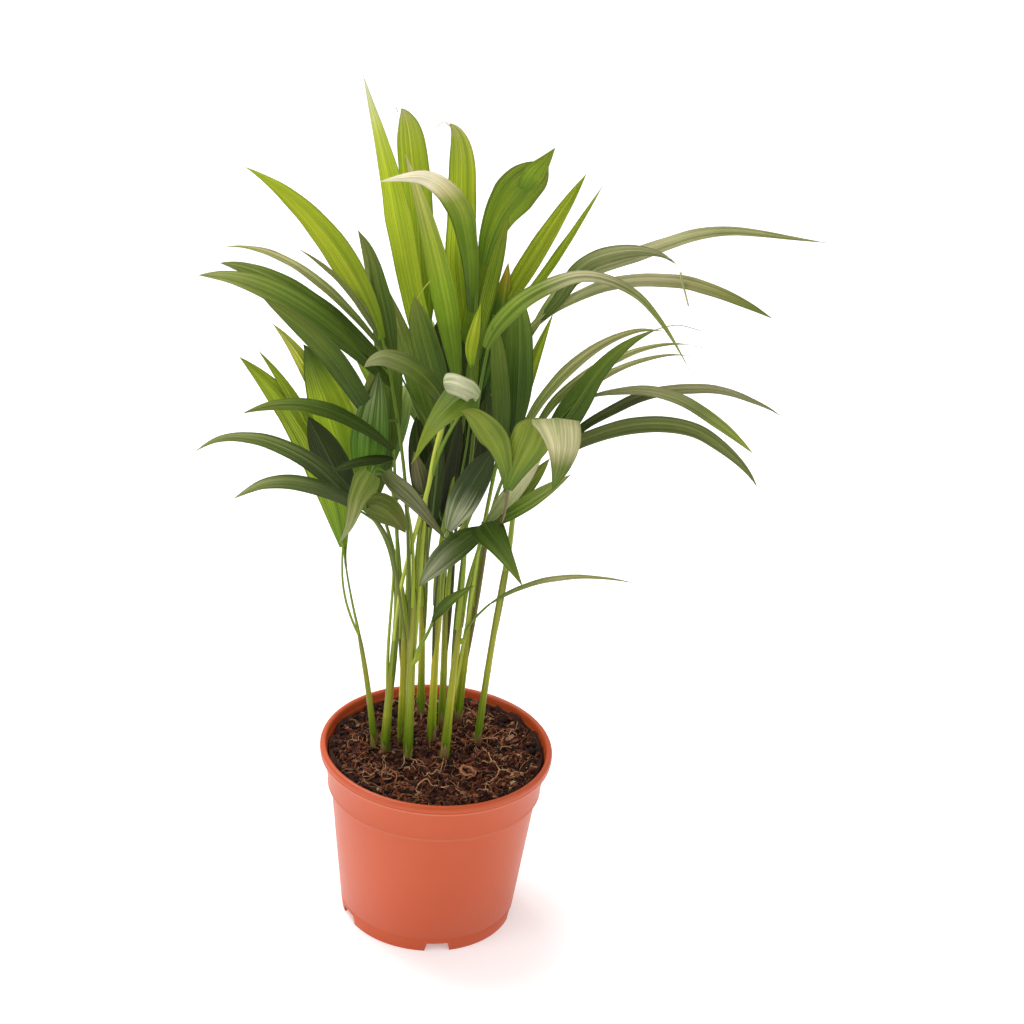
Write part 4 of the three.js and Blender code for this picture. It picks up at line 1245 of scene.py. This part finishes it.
# %% Traced leaflets
TRACED = [
    ("frond_right_long", [
        (31.7, 329, 22), (37.9, 342.7, 22), (46.8, 355.5, 22), (57.4, 363.6, 23), (68.7, 368.9, 24),
        (80, 374, 25), (90.8, 379, 26), (101.5, 383.7, 27), (111.9, 386.7, 28), (122.1, 387.9, 28),
        (133.3, 387.7, 29), (149.4, 386.4, 29), (166.8, 385.1, 29),
    ], 7.2, (1.5, 1.5, 0.4, 0.4), (-0.3, -0.8, 0.6), "straw"),
    ("frond_right_long", [
        (31.2, 330, 20), (38.5, 340.2, 18), (43.6, 348.2, 17), (47.7, 356.1, 16), (51.4, 362.9, 15),
        (57.5, 368.4, 15), (65.6, 372.2, 14), (75.2, 374.6, 13), (84.6, 374.8, 12), (91.3, 373.3, 12),
        (96.8, 369.7, 12),
    ], 8.8, (1.3, 1.3, 0.6, 0.08), (-0.3, -0.8, 0.6), "ash"),
    ("frond_right_long", [
        (29.8, 329.9, 20), (39.8, 341.6, 18), (50.6, 349, 16), (60.1, 354.5, 13), (68.3, 357.8, 11),
        (77.5, 360, 9), (88.7, 361.1, 7), (101.9, 361, 5), (112, 358.9, 3), (121.8, 355.9, 1),
        (130.2, 352.7, 0), (137.7, 349.4, -1), (145.7, 345.4, -2),
    ], 6.6, (2.4, 2.4, 0.62, 0.5), (-0.2, -0.8, 0.6), "reed"),
    ("frond_right_middle", [
        (31.5, 278.1, 8), (38.6, 294, 9), (45.9, 305.6, 11), (53.3, 315, 13), (61.3, 322.8, 15),
        (68.9, 328.6, 17), (76.6, 332.7, 19), (84.5, 335.3, 21), (94.9, 335.6, 23),
    ], 5.8, (1.6, 1.6, 0.4, 0.5), (-0.3, -0.8, 0.5), "olive"),
    ("frond_right_middle", [
        (37.7, 279.6, 8), (44.9, 293.9, 11), (53.7, 304.6, 15), (62.6, 312.8, 19), (71.7, 318.4, 23),
        (80.8, 323.5, 27), (90, 327.2, 31), (99.4, 329.2, 35), (108.9, 329.6, 38),
    ], 4.8, (1.5, 1.5, 0.35, 0.6), (-0.3, -0.8, 0.5), "olive"),
    ("frond_right_middle", [
        (42.7, 277.8, 8), (51.3, 292.3, 12), (60, 303.4, 17), (68.6, 310.3, 22), (78.1, 316.3, 27),
        (89.2, 321, 32), (99, 323.5, 36), (109, 323.9, 40),
    ], 3.8, (1.5, 1.5, 0.35, 0.6), (-0.3, -0.8, 0.5), "olive"),
    ("frond_right_middle", [
        (46, 272.7, 4), (52.2, 287, 3), (56.8, 295.8, 2), (63.8, 309.5, 1), (71.9, 321, 1),
        (81.2, 329.9, 1), (92.2, 336.7, 1),
    ], 14, (1.15, 1.15, 0.24, 0.7), (-0.3, -0.9, 0.4), "deep"),
    ("frond_right_middle", [
        (54.1, 274.3, 4), (61.2, 283.4, 5), (72.1, 291.6, 7), (83, 298.8, 9), (92.3, 303.1, 11),
        (100.7, 305.3, 13), (110.7, 306.8, 15), (120.3, 307.3, 17), (130.5, 305.9, 19), (141, 302.4, 20),
        (149.7, 298.8, 21), (155.9, 295, 22),
    ], 5.4, (2, 2, 0.4, 0.7), (-0.3, -0.8, 0.6), "dusk"),
    ("frond_right_middle", [
        (60, 297.6, 2), (67.4, 300.8, 1), (75.9, 302.8, 0), (87.3, 304.4, -1), (97.6, 303.3, -2),
        (108, 300.1, -3), (118.5, 294.2, -4), (129.2, 287, -6), (138.2, 279.9, -7), (144.4, 274.4, -8),
    ], 5.9, (2.4, 2.4, 0.58, 0.1), (-0.2, -0.8, 0.6), "reed_tip"),
    ("frond_right_middle", [
        (53.5, 270.5, 0), (58, 274.1, -2), (63.6, 277.2, -4), (73, 281.6, -7), (84.3, 285.3, -10),
        (95.7, 287, -13), (107.4, 286.7, -16), (117.9, 283.8, -19), (128.5, 277.3, -21),
        (137.9, 269.6, -22), (144, 263, -23), (148.4, 256.5, -24),
    ], 8, (2.4, 2.4, 0.4, 0.8), (-0.2, -0.8, 0.6), "deep_moss"),
    ("frond_left_upper", [
        (-40.2, 279.3, -6), (-46.4, 288.4, -10), (-53, 298.5, -14), (-60.8, 309.4, -18), (-70, 319.6, -23),
        (-79.8, 328.2, -27), (-89.4, 335.1, -31), (-95.9, 339.5, -34),
    ], 11, (2.2, 2.2, 0.45, 0.6), (-0.3, -0.8, 0.5), "deep"),
    ("frond_left_low", [
        (-49, 233.7, -42), (-55, 237.1, -46), (-62.5, 240.1, -50), (-72.4, 242.4, -54), (-82.2, 243.1, -57),
        (-91.9, 241.3, -60), (-99.2, 237.5, -62), (-107.4, 231.7, -64),
    ], 7.6, (2, 2, 0.4, 0.7), (-0.2, -0.8, 0.6), "shadow_tip"),
    ("frond_left_low", [
        (-49.6, 235.3, -41), (-57.7, 244, -42), (-65.8, 251.6, -43), (-73.8, 257, -44), (-83.6, 261.7, -46),
        (-92.5, 264.6, -47), (-100.7, 265.6, -48), (-109.4, 265.2, -49), (-118.1, 262.2, -51),
        (-126.8, 255.9, -52),
    ], 8.4, (1.7, 1.7, 0.3, 0.8), (-0.2, -0.8, 0.6), "shadow_tip"),
    ("frond_left_low", [
        (-33.6, 251.8, -52), (-28.5, 246.2, -55), (-22.3, 240.9, -57), (-16.6, 235, -59),
        (-11.4, 228.7, -60), (-6.3, 222.4, -61), (-1.3, 216.1, -62),
    ], 8.8, (1.3, 1.3, 0.3, 0.6), (0.1, -0.8, 0.6), "dun"),
    ("frond_low_centre", [
        (16.3, 227.4, -18), (21.2, 220.5, -30), (26.2, 213, -40), (31.8, 203.9, -49), (38, 193, -55),
    ], 16.5, (1.1, 1.1, 0.12, 0.7), (0.1, -0.8, 0.6), "deep"),
    ("frond_front", [
        (26.3, 247.9, -48), (24.1, 259.2, -52), (20, 269.7, -58), (14.1, 278.4, -64), (7.8, 284.9, -70),
        (1.4, 287.1, -76),
    ], 13.5, (2.2, 2.2, 0.5, 0.3, 1), (-0.3, -0.8, 0.5), "curled"),
    ("frond_front", [
        (26.6, 246.3, -48), (30, 256.8, -52), (34, 267, -56), (37.2, 276.7, -60), (38.8, 286.3, -62),
    ], 19, (6, 6, 0.6, 0.25, 1), (0.1, -1, 0.3), "curled"),
    ("frond_front", [
        (47.8, 286.7, -66), (49.1, 279.9, -71), (50.1, 273.5, -76), (50.4, 266.5, -80), (50, 258.9, -82),
        (48.4, 247.4, -83),
    ], 23, (1.7, 0.68, 0.08, 1, 0.95), (0.25, -0.9, 0.4), "glare"),
    ("frond_front_upper", [
        (-8.1, 293.3, -32), (-11.2, 297.8, -34), (-16.8, 303.7, -37), (-23.8, 308.7, -40),
        (-30.6, 311.8, -43), (-36.4, 313, -46), (-40.7, 311.9, -49), (-43.9, 309.6, -51),
        (-46.2, 306.5, -53),
    ], 10.6, (5, 2.2, 0.4, 0.5), (-0.1, -0.7, 0.75), "lobe"),
    ("frond_front_upper", [
        (5.2, 296.9, -36), (0.1, 293.3, -40), (-4.9, 288.2, -46), (-9.2, 282.3, -53), (-12.9, 275.9, -59),
        (-16, 269.3, -63), (-18.5, 262.6, -67), (-21.2, 256.8, -70),
    ], 19, (0.85, 0.85, 0.1, 0.9, 0.9), (-0.2, -0.75, 0.6), "curled"),
    ("frond_front_upper", [
        (9.6, 295.1, -35), (5.6, 297.9, -38), (0.6, 300.2, -42), (-4.2, 301.4, -44), (-8, 301.2, -45),
    ], 10.5, (20, 20, 0.25, 0.5, 0.75), (0, -0.8, 0.6), "curl"),
    ("frond_tall", [
        (-17.5, 325.4, 27), (-21.8, 362.2, 34), (-24.8, 389.7, 38), (-27.8, 410.4, 44), (-30.3, 425.5, 47),
        (-32.2, 431.6, 48), (-33.8, 434.8, 48), (-35, 435.9, 48),
    ], 14.8, (8, 8), (0, -0.9, 0.6), "lime"),
    ("frond_tall", [
        (-16.1, 316.8, 22), (-23.8, 341.4, 22), (-31, 372.5, 21), (-37.4, 400, 21), (-43.7, 422.2, 20),
        (-48.4, 437, 20), (-52.8, 451.2, 20),
    ], 12.8, (1.1, 1.1, 0.5, 0.8, 1), (0, -0.9, 0.6), "pale_tip"),
    ("frond_high", [
        (7, 300, 34), (-3.3, 359.5, 44), (-4.2, 385.3, 56), (-4.8, 398.9, 60), (-5.5, 411, 64),
        (-6.7, 420, 66), (-8.7, 426.1, 66), (-10.6, 428.8, 66), (-12.6, 430.6, 66),
    ], 14.2, (7, 7), (0, -0.9, 0.6), "lime"),
    ("frond_high", [
        (7.7, 363.8, 36), (9.9, 376.4, 36), (13.6, 387.5, 36), (18.3, 396.2, 36), (23.1, 403.6, 36),
        (27.8, 409, 35), (31.7, 412.7, 34), (34.3, 414.8, 34),
    ], 20.5, (2.4, 3.6, 0.6, 0.3, 1), (0.1, -1, 0.3), "leafy"),
    ("frond_high", [
        (4.1, 314.1, 36.6), (5.1, 328.6, 36.6), (7, 344.1, 36.6), (9.2, 357.9, 36.6), (11.5, 369.6, 36.6),
        (14.5, 380.2, 36.6), (17.6, 389.3, 36.6),
    ], 14.2, (2.2, 2.2, 0.5, 0.75, 1), (0.1, -1, 0.3), "leafy"),
    ("frond_high", [
        (22.9, 400.9, 33), (27.8, 409, 33), (32.4, 415.6, 33), (36.7, 422.4, 33),
    ], 10, (1.15, 1.15, 0.4, 0.5), (0.1, -1, 0.3), "leafy"),
    ("frond_high", [
        (3.1, 338.7, 35), (2.1, 350.8, 32), (0.9, 363.3, 29), (-1.5, 375.1, 26), (-4.5, 386.2, 22),
        (-8.9, 394, 18), (-14.3, 399.5, 14), (-19.7, 402.7, 11), (-25.3, 403.8, 9), (-33.6, 402.7, 6),
        (-43.2, 400.1, 4),
    ], 13.2, (1.6, 1.6, 0.48, 0.3, 1), (-0.4, -0.9, 0.5), "cream_tip"),
    ("frond_low_silver", [
        (5.3, 310, -4), (4.3, 319.3, -2), (5.5, 329.7, 0), (7.5, 343.6, 4),
    ], 6.2, (1.6, 1.6, 0.4), (0, -1, 0.2), "sunlit"),
    ("frond_right_arch", [
        (10.9, 320.8, -14), (14.1, 329.8, -15), (19.3, 337.8, -17), (25.8, 345.4, -19), (33.9, 351.8, -21),
        (42.5, 356.7, -23), (50.7, 360.1, -26), (58.6, 360.9, -28), (66.7, 359.5, -30), (75, 356.3, -32),
        (83, 351.1, -35), (90.4, 343.4, -37), (97.4, 334.5, -39), (104.1, 324.4, -42), (109.3, 315.9, -44),
    ], 9.6, (0.95, 0.95, 0.2, 0.45), (-0.3, -0.75, 0.6), "arch"),
    ("frond_left_split", [
        (-50.5, 246.2, 4), (-55.6, 266.4, 6), (-62.1, 285.1, 8), (-68.4, 300.5, 8), (-73.1, 312.7, 7),
        (-75.6, 316.6, 6),
    ], 21, (1.7, 1.7, 0.42, 0.3), (0, -0.9, 0.5), "shade_tip"),
    ("frond_left_split", [
        (-58.9, 275.3, 10), (-67.7, 294.2, 10), (-75.8, 308.3, 9), (-83.3, 318.6, 8), (-90.6, 326.3, 7),
    ], 9, (1.6, 1.6), (0, -0.9, 0.5), "yellow"),
    ("frond_centre_left", [
        (-32.1, 313.5, 2), (-36.3, 330.8, 6), (-40.3, 346.8, 9), (-43.2, 358.6, 11), (-46.9, 368.4, 12),
        (-52.3, 376.4, 12),
    ], 10, (1.25, 1.25), (0.1, -0.9, 0.5), "verdant"),
    ("frond_left_low", [
        (-40.4, 250.8, -60), (-44, 243.4, -62), (-46.7, 236.1, -63), (-48.3, 228.2, -64),
        (-50.4, 219.8, -65), (-55, 210, -66),
    ], 13, (0.9, 0.9, 0.15, 0.75), (0, -0.7, 0.8), "dusty"),
    # Painted shade: the dark blades below stand in the middle of the crown, where little light comes through.
    ("frond_centre_back", [
        (-6, 232, 18), (-4, 259, 20), (1, 285, 22),
    ], 14, (3, 3), (0.1, -1, 0.1), "umber"),
    ("frond_centre_back", [
        (4, 234, 20), (8, 259, 22), (12, 282, 24),
    ], 15, (3, 3), (-0.2, -1, 0.1), "umber"),
    ("frond_centre_back", [
        (-3, 222, 30), (-10, 263, 32), (-15, 300, 34),
    ], 16, (3, 3), (0.2, -1, 0.1), "dark"),
    ("frond_centre_back", [(2, 225, 34), (-2, 266, 36), (-2, 303, 38)], 18, (3, 3), (0, -1, 0.1), "umber"),
    ("frond_centre_back", [
        (8, 231, 34), (11, 267, 36), (13, 302, 38),
    ], 16, (3, 3), (-0.2, -1, 0.1), "dark"),
    ("frond_centre_back", [
        (-9, 227, 26), (-16, 254, 28), (-20, 283, 30),
    ], 12, (3, 3), (0.2, -1, 0.1), "dark"),
    ("frond_centre_left", [(-10, 223, 4), (-10, 249, 6), (-7, 272, 8)], 11, (3, 3), (0.2, -1, 0.1), "dark"),
    ("frond_centre_back", [
        (3.8, 279.8, 32), (1.5, 302.4, 34), (-1.8, 325, 36),
    ], 16, (3, 3), (0, -1, 0.1), "dark"),
    ("frond_centre_back", [
        (-5, 289.8, 32), (-8.2, 312.1, 34), (-11.4, 335.6, 36),
    ], 14, (3, 3), (0, -1, 0.1), "dark"),
    ("frond_left_dark", [
        (-43, 244, -22), (-42, 274, -14), (-39, 305, -6),
    ], 18, (2, 2), (-0.1, -1, 0.2), "striped"),
    ("frond_left_middle", [
        (-14, 241, -14), (-17, 253, -18), (-20, 264, -20),
    ], 8, (2, 2), (0.2, -1, 0.2), "brownish"),
    # Painted shade: a dark blade behind the left leaves.
    ("frond_left_dark", [
        (-50, 235, -10), (-61, 259, -8), (-72, 279, -4),
    ], 15, (2, 2), (-0.1, -1, 0.2), "dark"),
]
print("traced leaflets", len(TRACED))

# %% [markdown]
# ## One blade
# A leaflet is a long thin blade, narrow at its root, widest a third of the way along, and drawn out to a
# point. It is folded a little along its middle and pleated beside it, and its edges are never quite
# straight. Each blade is a grid of points over a bow from the rib to its tip, given a real thickness and
# closed at its rim. Its underside is paler. A tint that is bright already is lifted a little more as
# painted light, for the sun that shines through the sunlit leaves.

# %% Outline of a blade
BLADE_STATIONS = 44
BLADE_ROOT_SHARE = 0.24
BLADE_PEAK = 0.38
BLADE_END = 0.996
TRACE_STEPS = 400
BLADE_SHARES = BLADE_END * (1 - (1 - np.linspace(0, 1, BLADE_STATIONS)) ** 1.35)


def half_widths(width, bluntness, share, peak=BLADE_PEAK, root=BLADE_ROOT_SHARE, swell=None):
    rise = np.clip(share / peak, 0, 1)
    fall = np.clip((share - peak) / (1 - peak), 0, 1)
    grown = rise**swell if swell else rise * (2 - rise)
    return width / 2 * np.where(share < peak, root + (1 - root) * grown, 1 - fall**bluntness)


def bowed(root, tip, bow):
    return bezier((root, (root + tip) / 2 + bow, tip), BLADE_SHARES)


def through(places):
    fine = smoothed([seen(*place) for place in places], TRACE_STEPS)
    length = np.concatenate([[0], np.cumsum(np.linalg.norm(np.diff(fine, axis=0), axis=1))])
    return np.stack([np.interp(BLADE_SHARES * length[-1], length, fine[:, axis]) for axis in range(3)], -1)


print("half widths at the root and near the tip", half_widths(20, 2, BLADE_SHARES).round(2)[[0, -2]])

# %% One blade
BLADE_ACROSS = 15
BLADE_FOLD = 0.2
BLADE_THICKNESS = 0.34
THINNEST_HALF = 0.12
PLEAT_PITCH = 2.6
PLEAT_DEPTH = 0.22
PLEAT_SHARE = 0.03
EDGE_WAVE = 0.45
EDGE_THINNING = 0.55
WAVE_LENGTH = 34.0
SECOND_WAVE = 0.57
TWIST_DEGREES = 7
TWIST_START = 0.2
TINT_SPREAD = 0.03
UNDERSIDE_COLOUR = "#8FA466"
UNDERSIDE_SHARE = 0.28
LUMINANCE = np.array([0.2126, 0.7152, 0.0722])
SHADE_LIGHT = 0.07
PAINTED_SUN_LIFT = 0.17
NO_PAINTED_SHINE = (0, 0, 0, 0, 0)
leaf_rng = np.random.default_rng(23)


def blade_tints(tint, share):
    top = shades(TINTS[tint], share)
    under = top * (1 - UNDERSIDE_SHARE) + np.array(linear(UNDERSIDE_COLOUR)) * UNDERSIDE_SHARE
    both = np.stack([top, under], 1).repeat(BLADE_ACROSS, axis=1)
    both = both * (1 + leaf_rng.normal(0, TINT_SPREAD))
    light = both[..., :3] @ LUMINANCE
    # Painted light: tints that are already bright are lifted further, for the sun shining through the leaf.
    painted_sun = np.clip((light - SHADE_LIGHT) / SHADE_LIGHT, 0, 1)
    both[..., :3] *= (1 + PAINTED_SUN_LIFT * painted_sun)[..., None]
    # Painted highlight: the alpha says how little pale sheen is painted on the streaks.
    painted_shine = np.interp(share, np.linspace(0, 1, 5), PAINTED_SHINE.get(tint, NO_PAINTED_SHINE))
    both[..., 3] = 1 - painted_shine[:, None]
    return both.reshape(-1, 4)


def add_blade(heap, path, width, bluntness, face, tint):
    seed = leaf_rng.uniform(0, 40)
    share = BLADE_SHARES
    length = np.linalg.norm(np.diff(path, axis=0), axis=1).sum()
    along = unit(np.gradient(path, axis=0))
    flat_up = unit(face - along * (along @ face)[:, None])
    flat_across = np.cross(along, flat_up)
    twist = (np.radians(leaf_rng.normal(0, TWIST_DEGREES)) * (share - TWIST_START))[:, None]
    across = flat_across * np.cos(twist) + flat_up * np.sin(twist)
    up = flat_up * np.cos(twist) - flat_across * np.sin(twist)
    left, right, *profile = bluntness if isinstance(bluntness, tuple) else (bluntness, bluntness)
    ripple = 1 + 0.012 * np.sin(share * length / 9 + seed) + 0.01 * np.sin(share * length / 4.1 + 2 * seed)
    u = np.linspace(-1, 1, BLADE_ACROSS)
    left = np.maximum(half_widths(width, left, share, *profile), THINNEST_HALF) * ripple
    right = np.maximum(half_widths(width, right, share, *profile), THINNEST_HALF) * ripple
    side = np.where(u < 0, left[:, None] * u, right[:, None] * u)
    reach = (left + right) / 2
    fade = (reach / reach.max())[:, None]
    pleats = max(1, round(width / 2 / PLEAT_PITCH))
    depth = min(PLEAT_DEPTH, PLEAT_SHARE * width)
    lift = -BLADE_FOLD * np.abs(side)
    lift = lift + depth * fade * np.cos(2 * np.pi * pleats * np.abs(u))[None, :]
    wave = np.sin(2 * np.pi * share * length / WAVE_LENGTH + seed)[:, None] * np.sign(u)[None, :]
    second = np.sin(2 * np.pi * share * length / (SECOND_WAVE * WAVE_LENGTH) + 3 * seed)[:, None]
    lift = lift + EDGE_WAVE * fade * (0.6 * wave + 0.4 * second) * (u**2)[None, :]
    thick = BLADE_THICKNESS * (1 - EDGE_THINNING * np.abs(u))[None, :] * np.clip(fade * 1.4, 0.35, 1)
    middle = path[:, None, :] + across[:, None, :] * side[..., None] + up[:, None, :] * lift[..., None]
    half = up[:, None, :] * (thick / 2)[..., None]
    points = np.concatenate([middle + half, (middle - half)[:, ::-1, :]], axis=1)
    flat_u = (u + 1) / 2
    uv_u = np.concatenate([flat_u, flat_u[::-1]])
    uv = np.stack(np.broadcast_arrays(uv_u[None, :], share[:, None]), -1).reshape(-1, 2)
    heap.add(points, ring_faces(BLADE_STATIONS, 2 * BLADE_ACROSS), uv, blade_tints(tint, share), seed)


print("a blade has", (BLADE_STATIONS - 1) * 2 * BLADE_ACROSS * 2, "triangles or so")

# %% [markdown]
# ## Blades of every frond
# The leaflets of a frond are joined into one piece, which replaces that frond of the model. The bowed
# ones come first and the traced ones after them.

# %% Blades of every frond
for name, _, _, _, _, face, leaflets in FRONDS:
    blades = Heap()
    facing = unit(np.array([0.0, *face]))
    for at, right, height, behind, bow_right, bow_up, width, bluntness, tint in leaflets:
        root = bezier(RIBS[name], [at])[0]
        path = bowed(root, seen(right, height, behind), np.array([bow_right, 0.0, bow_up]))
        add_blade(blades, path, width, bluntness, facing, tint)
    for node, places, width, profile, towards, tint in TRACED:
        if node == name:
            add_blade(blades, through(places), width, profile, unit(np.array(towards, float)), tint)
    blades.make(name.replace("frond", "blades").replace("leaf", "blade"), LEAF, [name], smooth=50)

# %% [markdown]
# ## Leaf stalks
# Some of the traced leaves start a little way off the end of their rib. A thin stalk of their own carries
# them: it leaves the rib part of the way up and runs into the root of the leaf along its own direction.
# A leaf that starts on the rib needs none, and neither do the two that are the folded end of another
# leaf, which are named by the place where they start.

# %% Leaf stalks
LEAF_STALK_RADIUS = 0.55
LEAF_STALK_START = 0.8
LEAF_STALK_STATIONS = 16
LEAF_STALK_EASE = 0.35
LEAF_STALK_TUCK = 1.5
LEAF_STALK_TINTS = [(0, "#5A6E1E"), (1, "#4C661E")]
RIB_REACH = 6.0
CARRIED_TIPS = [(22.9, 400.9, 33), (47.8, 286.7, -66)]
leaf_stalks = Heap()
stalk_rng = np.random.default_rng(57)
for node, places, *_ in TRACED:
    rib = bezier(RIBS[node], np.linspace(0, 1, 40))
    root = seen(*places[0])
    if places[0] in CARRIED_TIPS or np.linalg.norm(rib - root, axis=1).min() < RIB_REACH:
        continue
    ahead = unit(seen(*places[1]) - root)
    start, after = bezier(RIBS[node], [LEAF_STALK_START, LEAF_STALK_START + 0.05])
    ease = np.linalg.norm(root - start) * LEAF_STALK_EASE
    steps = (start, start + unit(after - start) * ease, root - ahead * ease, root + ahead * LEAF_STALK_TUCK)
    share = np.linspace(0, 1, LEAF_STALK_STATIONS)
    thin = LEAF_STALK_RADIUS * (1.2 - 0.4 * share)
    tint = shades(LEAF_STALK_TINTS, share)
    tube(leaf_stalks, bezier(steps, share), thin, STALK_SIDES, tint, stalk_rng.uniform(0, 9))
leaf_stalks.make("leaf_stalks", STEM, sorted({row[0] for row in TRACED}))

# %% [markdown]
# ## Threads and a dry stalk
# Palm leaflets often end in a fine dry thread, and an old stalk or two hangs in every clump. They are
# thin tubes through a few places, and each one starts on the leaf or stem that it belongs to.

# %% Threads and a dry stalk
THREADS = [
    ([(-36, 434, 48), (-37, 436, 48), (-38, 435, 48)], 0.2, "#B8A878"),
    ([(-12, 429, 66), (-15, 431, 66), (-18, 428, 66)], 0.2, "#B8A878"),
    ([(-25, 325, 0), (-24, 339, -2), (-21, 347, -4), (-17, 353, -6)], 0.35, "#B4B446"),
    ([(108, 329, 22), (116, 328, 22), (123, 326, 22), (128, 322, 22)], 0.14, "#B8B49A"),
    ([(92.3, 372.8, 12), (95.2, 371.6, 12), (97.8, 369, 12)], 0.25, "#B8B080"),
    ([(99.8, 365.6, 2), (100.9, 361.4, 3), (102.9, 356, 3), (105.2, 349.1, 3)], 0.55, "#B4B07C"),
    ([(91, 336, 0), (101, 339, 0), (112, 337, 0)], 0.25, "#9A9A6A"),
    ([
        (-7.3, 278.5, -22), (-10.2, 261.1, -20), (-12.2, 244.6, -18), (-15.7, 226.7, -14),
        (-20.4, 202.9, -10), (-23.4, 182.2, -6), (-24.8, 157.9, -2),
    ], 1.2, "#B8C04A"),
    ([
        (26.4, 253.4, -47), (26.6, 243.6, -44), (26, 234.2, -34), (24.3, 226.3, -18), (21.9, 217.2, -4),
    ], 0.85, "#6E5E3C"),
    ([(-39, 228, -20), (-30, 214, -16), (-25, 193, -12), (-19, 158, -9)], 0.9, "#6A6C34"),
]
THREAD_STATIONS = 26
threads = Heap()
for places, radius, colour in THREADS:
    path = smoothed([seen(*place) for place in places], THREAD_STATIONS)
    thin = radius * (1.1 - 0.4 * np.linspace(0, 1, THREAD_STATIONS))
    tube(threads, path, thin, STALK_SIDES, linear(colour))
threads.make("threads", STEM, ["frond_high"])

# %% [markdown]
# ## Dry sheaths
# At the foot of each stem a few short dry sheaths peel away on the side that faces the viewer. They are
# narrow blades in husk colours, which lie against the stem and bend outwards at their tips.

# %% Dry sheaths
SHEATHS_EACH = 3
SHEATH_CLEARANCE = 0.15
SHEATH_DEPTH = 1.5
SHEATH_BEND = 1.4
BROWN_SHARE = 0.6
SHEATH_PROFILE = (1.3, 1.3, 0.3, 0.9)
sheath_rng = np.random.default_rng(41)
sheaths = Heap()
for stem in STEMS:
    start, middle, _ = stem_points(stem)
    up = unit(middle - start)
    for _ in range(SHEATHS_EACH):
        angle = sheath_rng.uniform(-2.6, -0.5)
        out = np.array([math.cos(angle), math.sin(angle), 0])
        reach = sheath_rng.uniform(4, 16)
        share = BLADE_SHARES[:, None]
        clear = stem[3][0] * STEM_SLIMNESS + SHEATH_CLEARANCE
        path = start + out * (clear + SHEATH_BEND * share**3) + up * (reach * share - SHEATH_DEPTH)
        tint = "husk" if sheath_rng.uniform() < BROWN_SHARE else "husk_green"
        add_blade(sheaths, path, sheath_rng.uniform(1.6, 3.4), SHEATH_PROFILE, out, tint)
sheaths.make("dry_sheaths", DRY, [row[0] for row in STEMS])
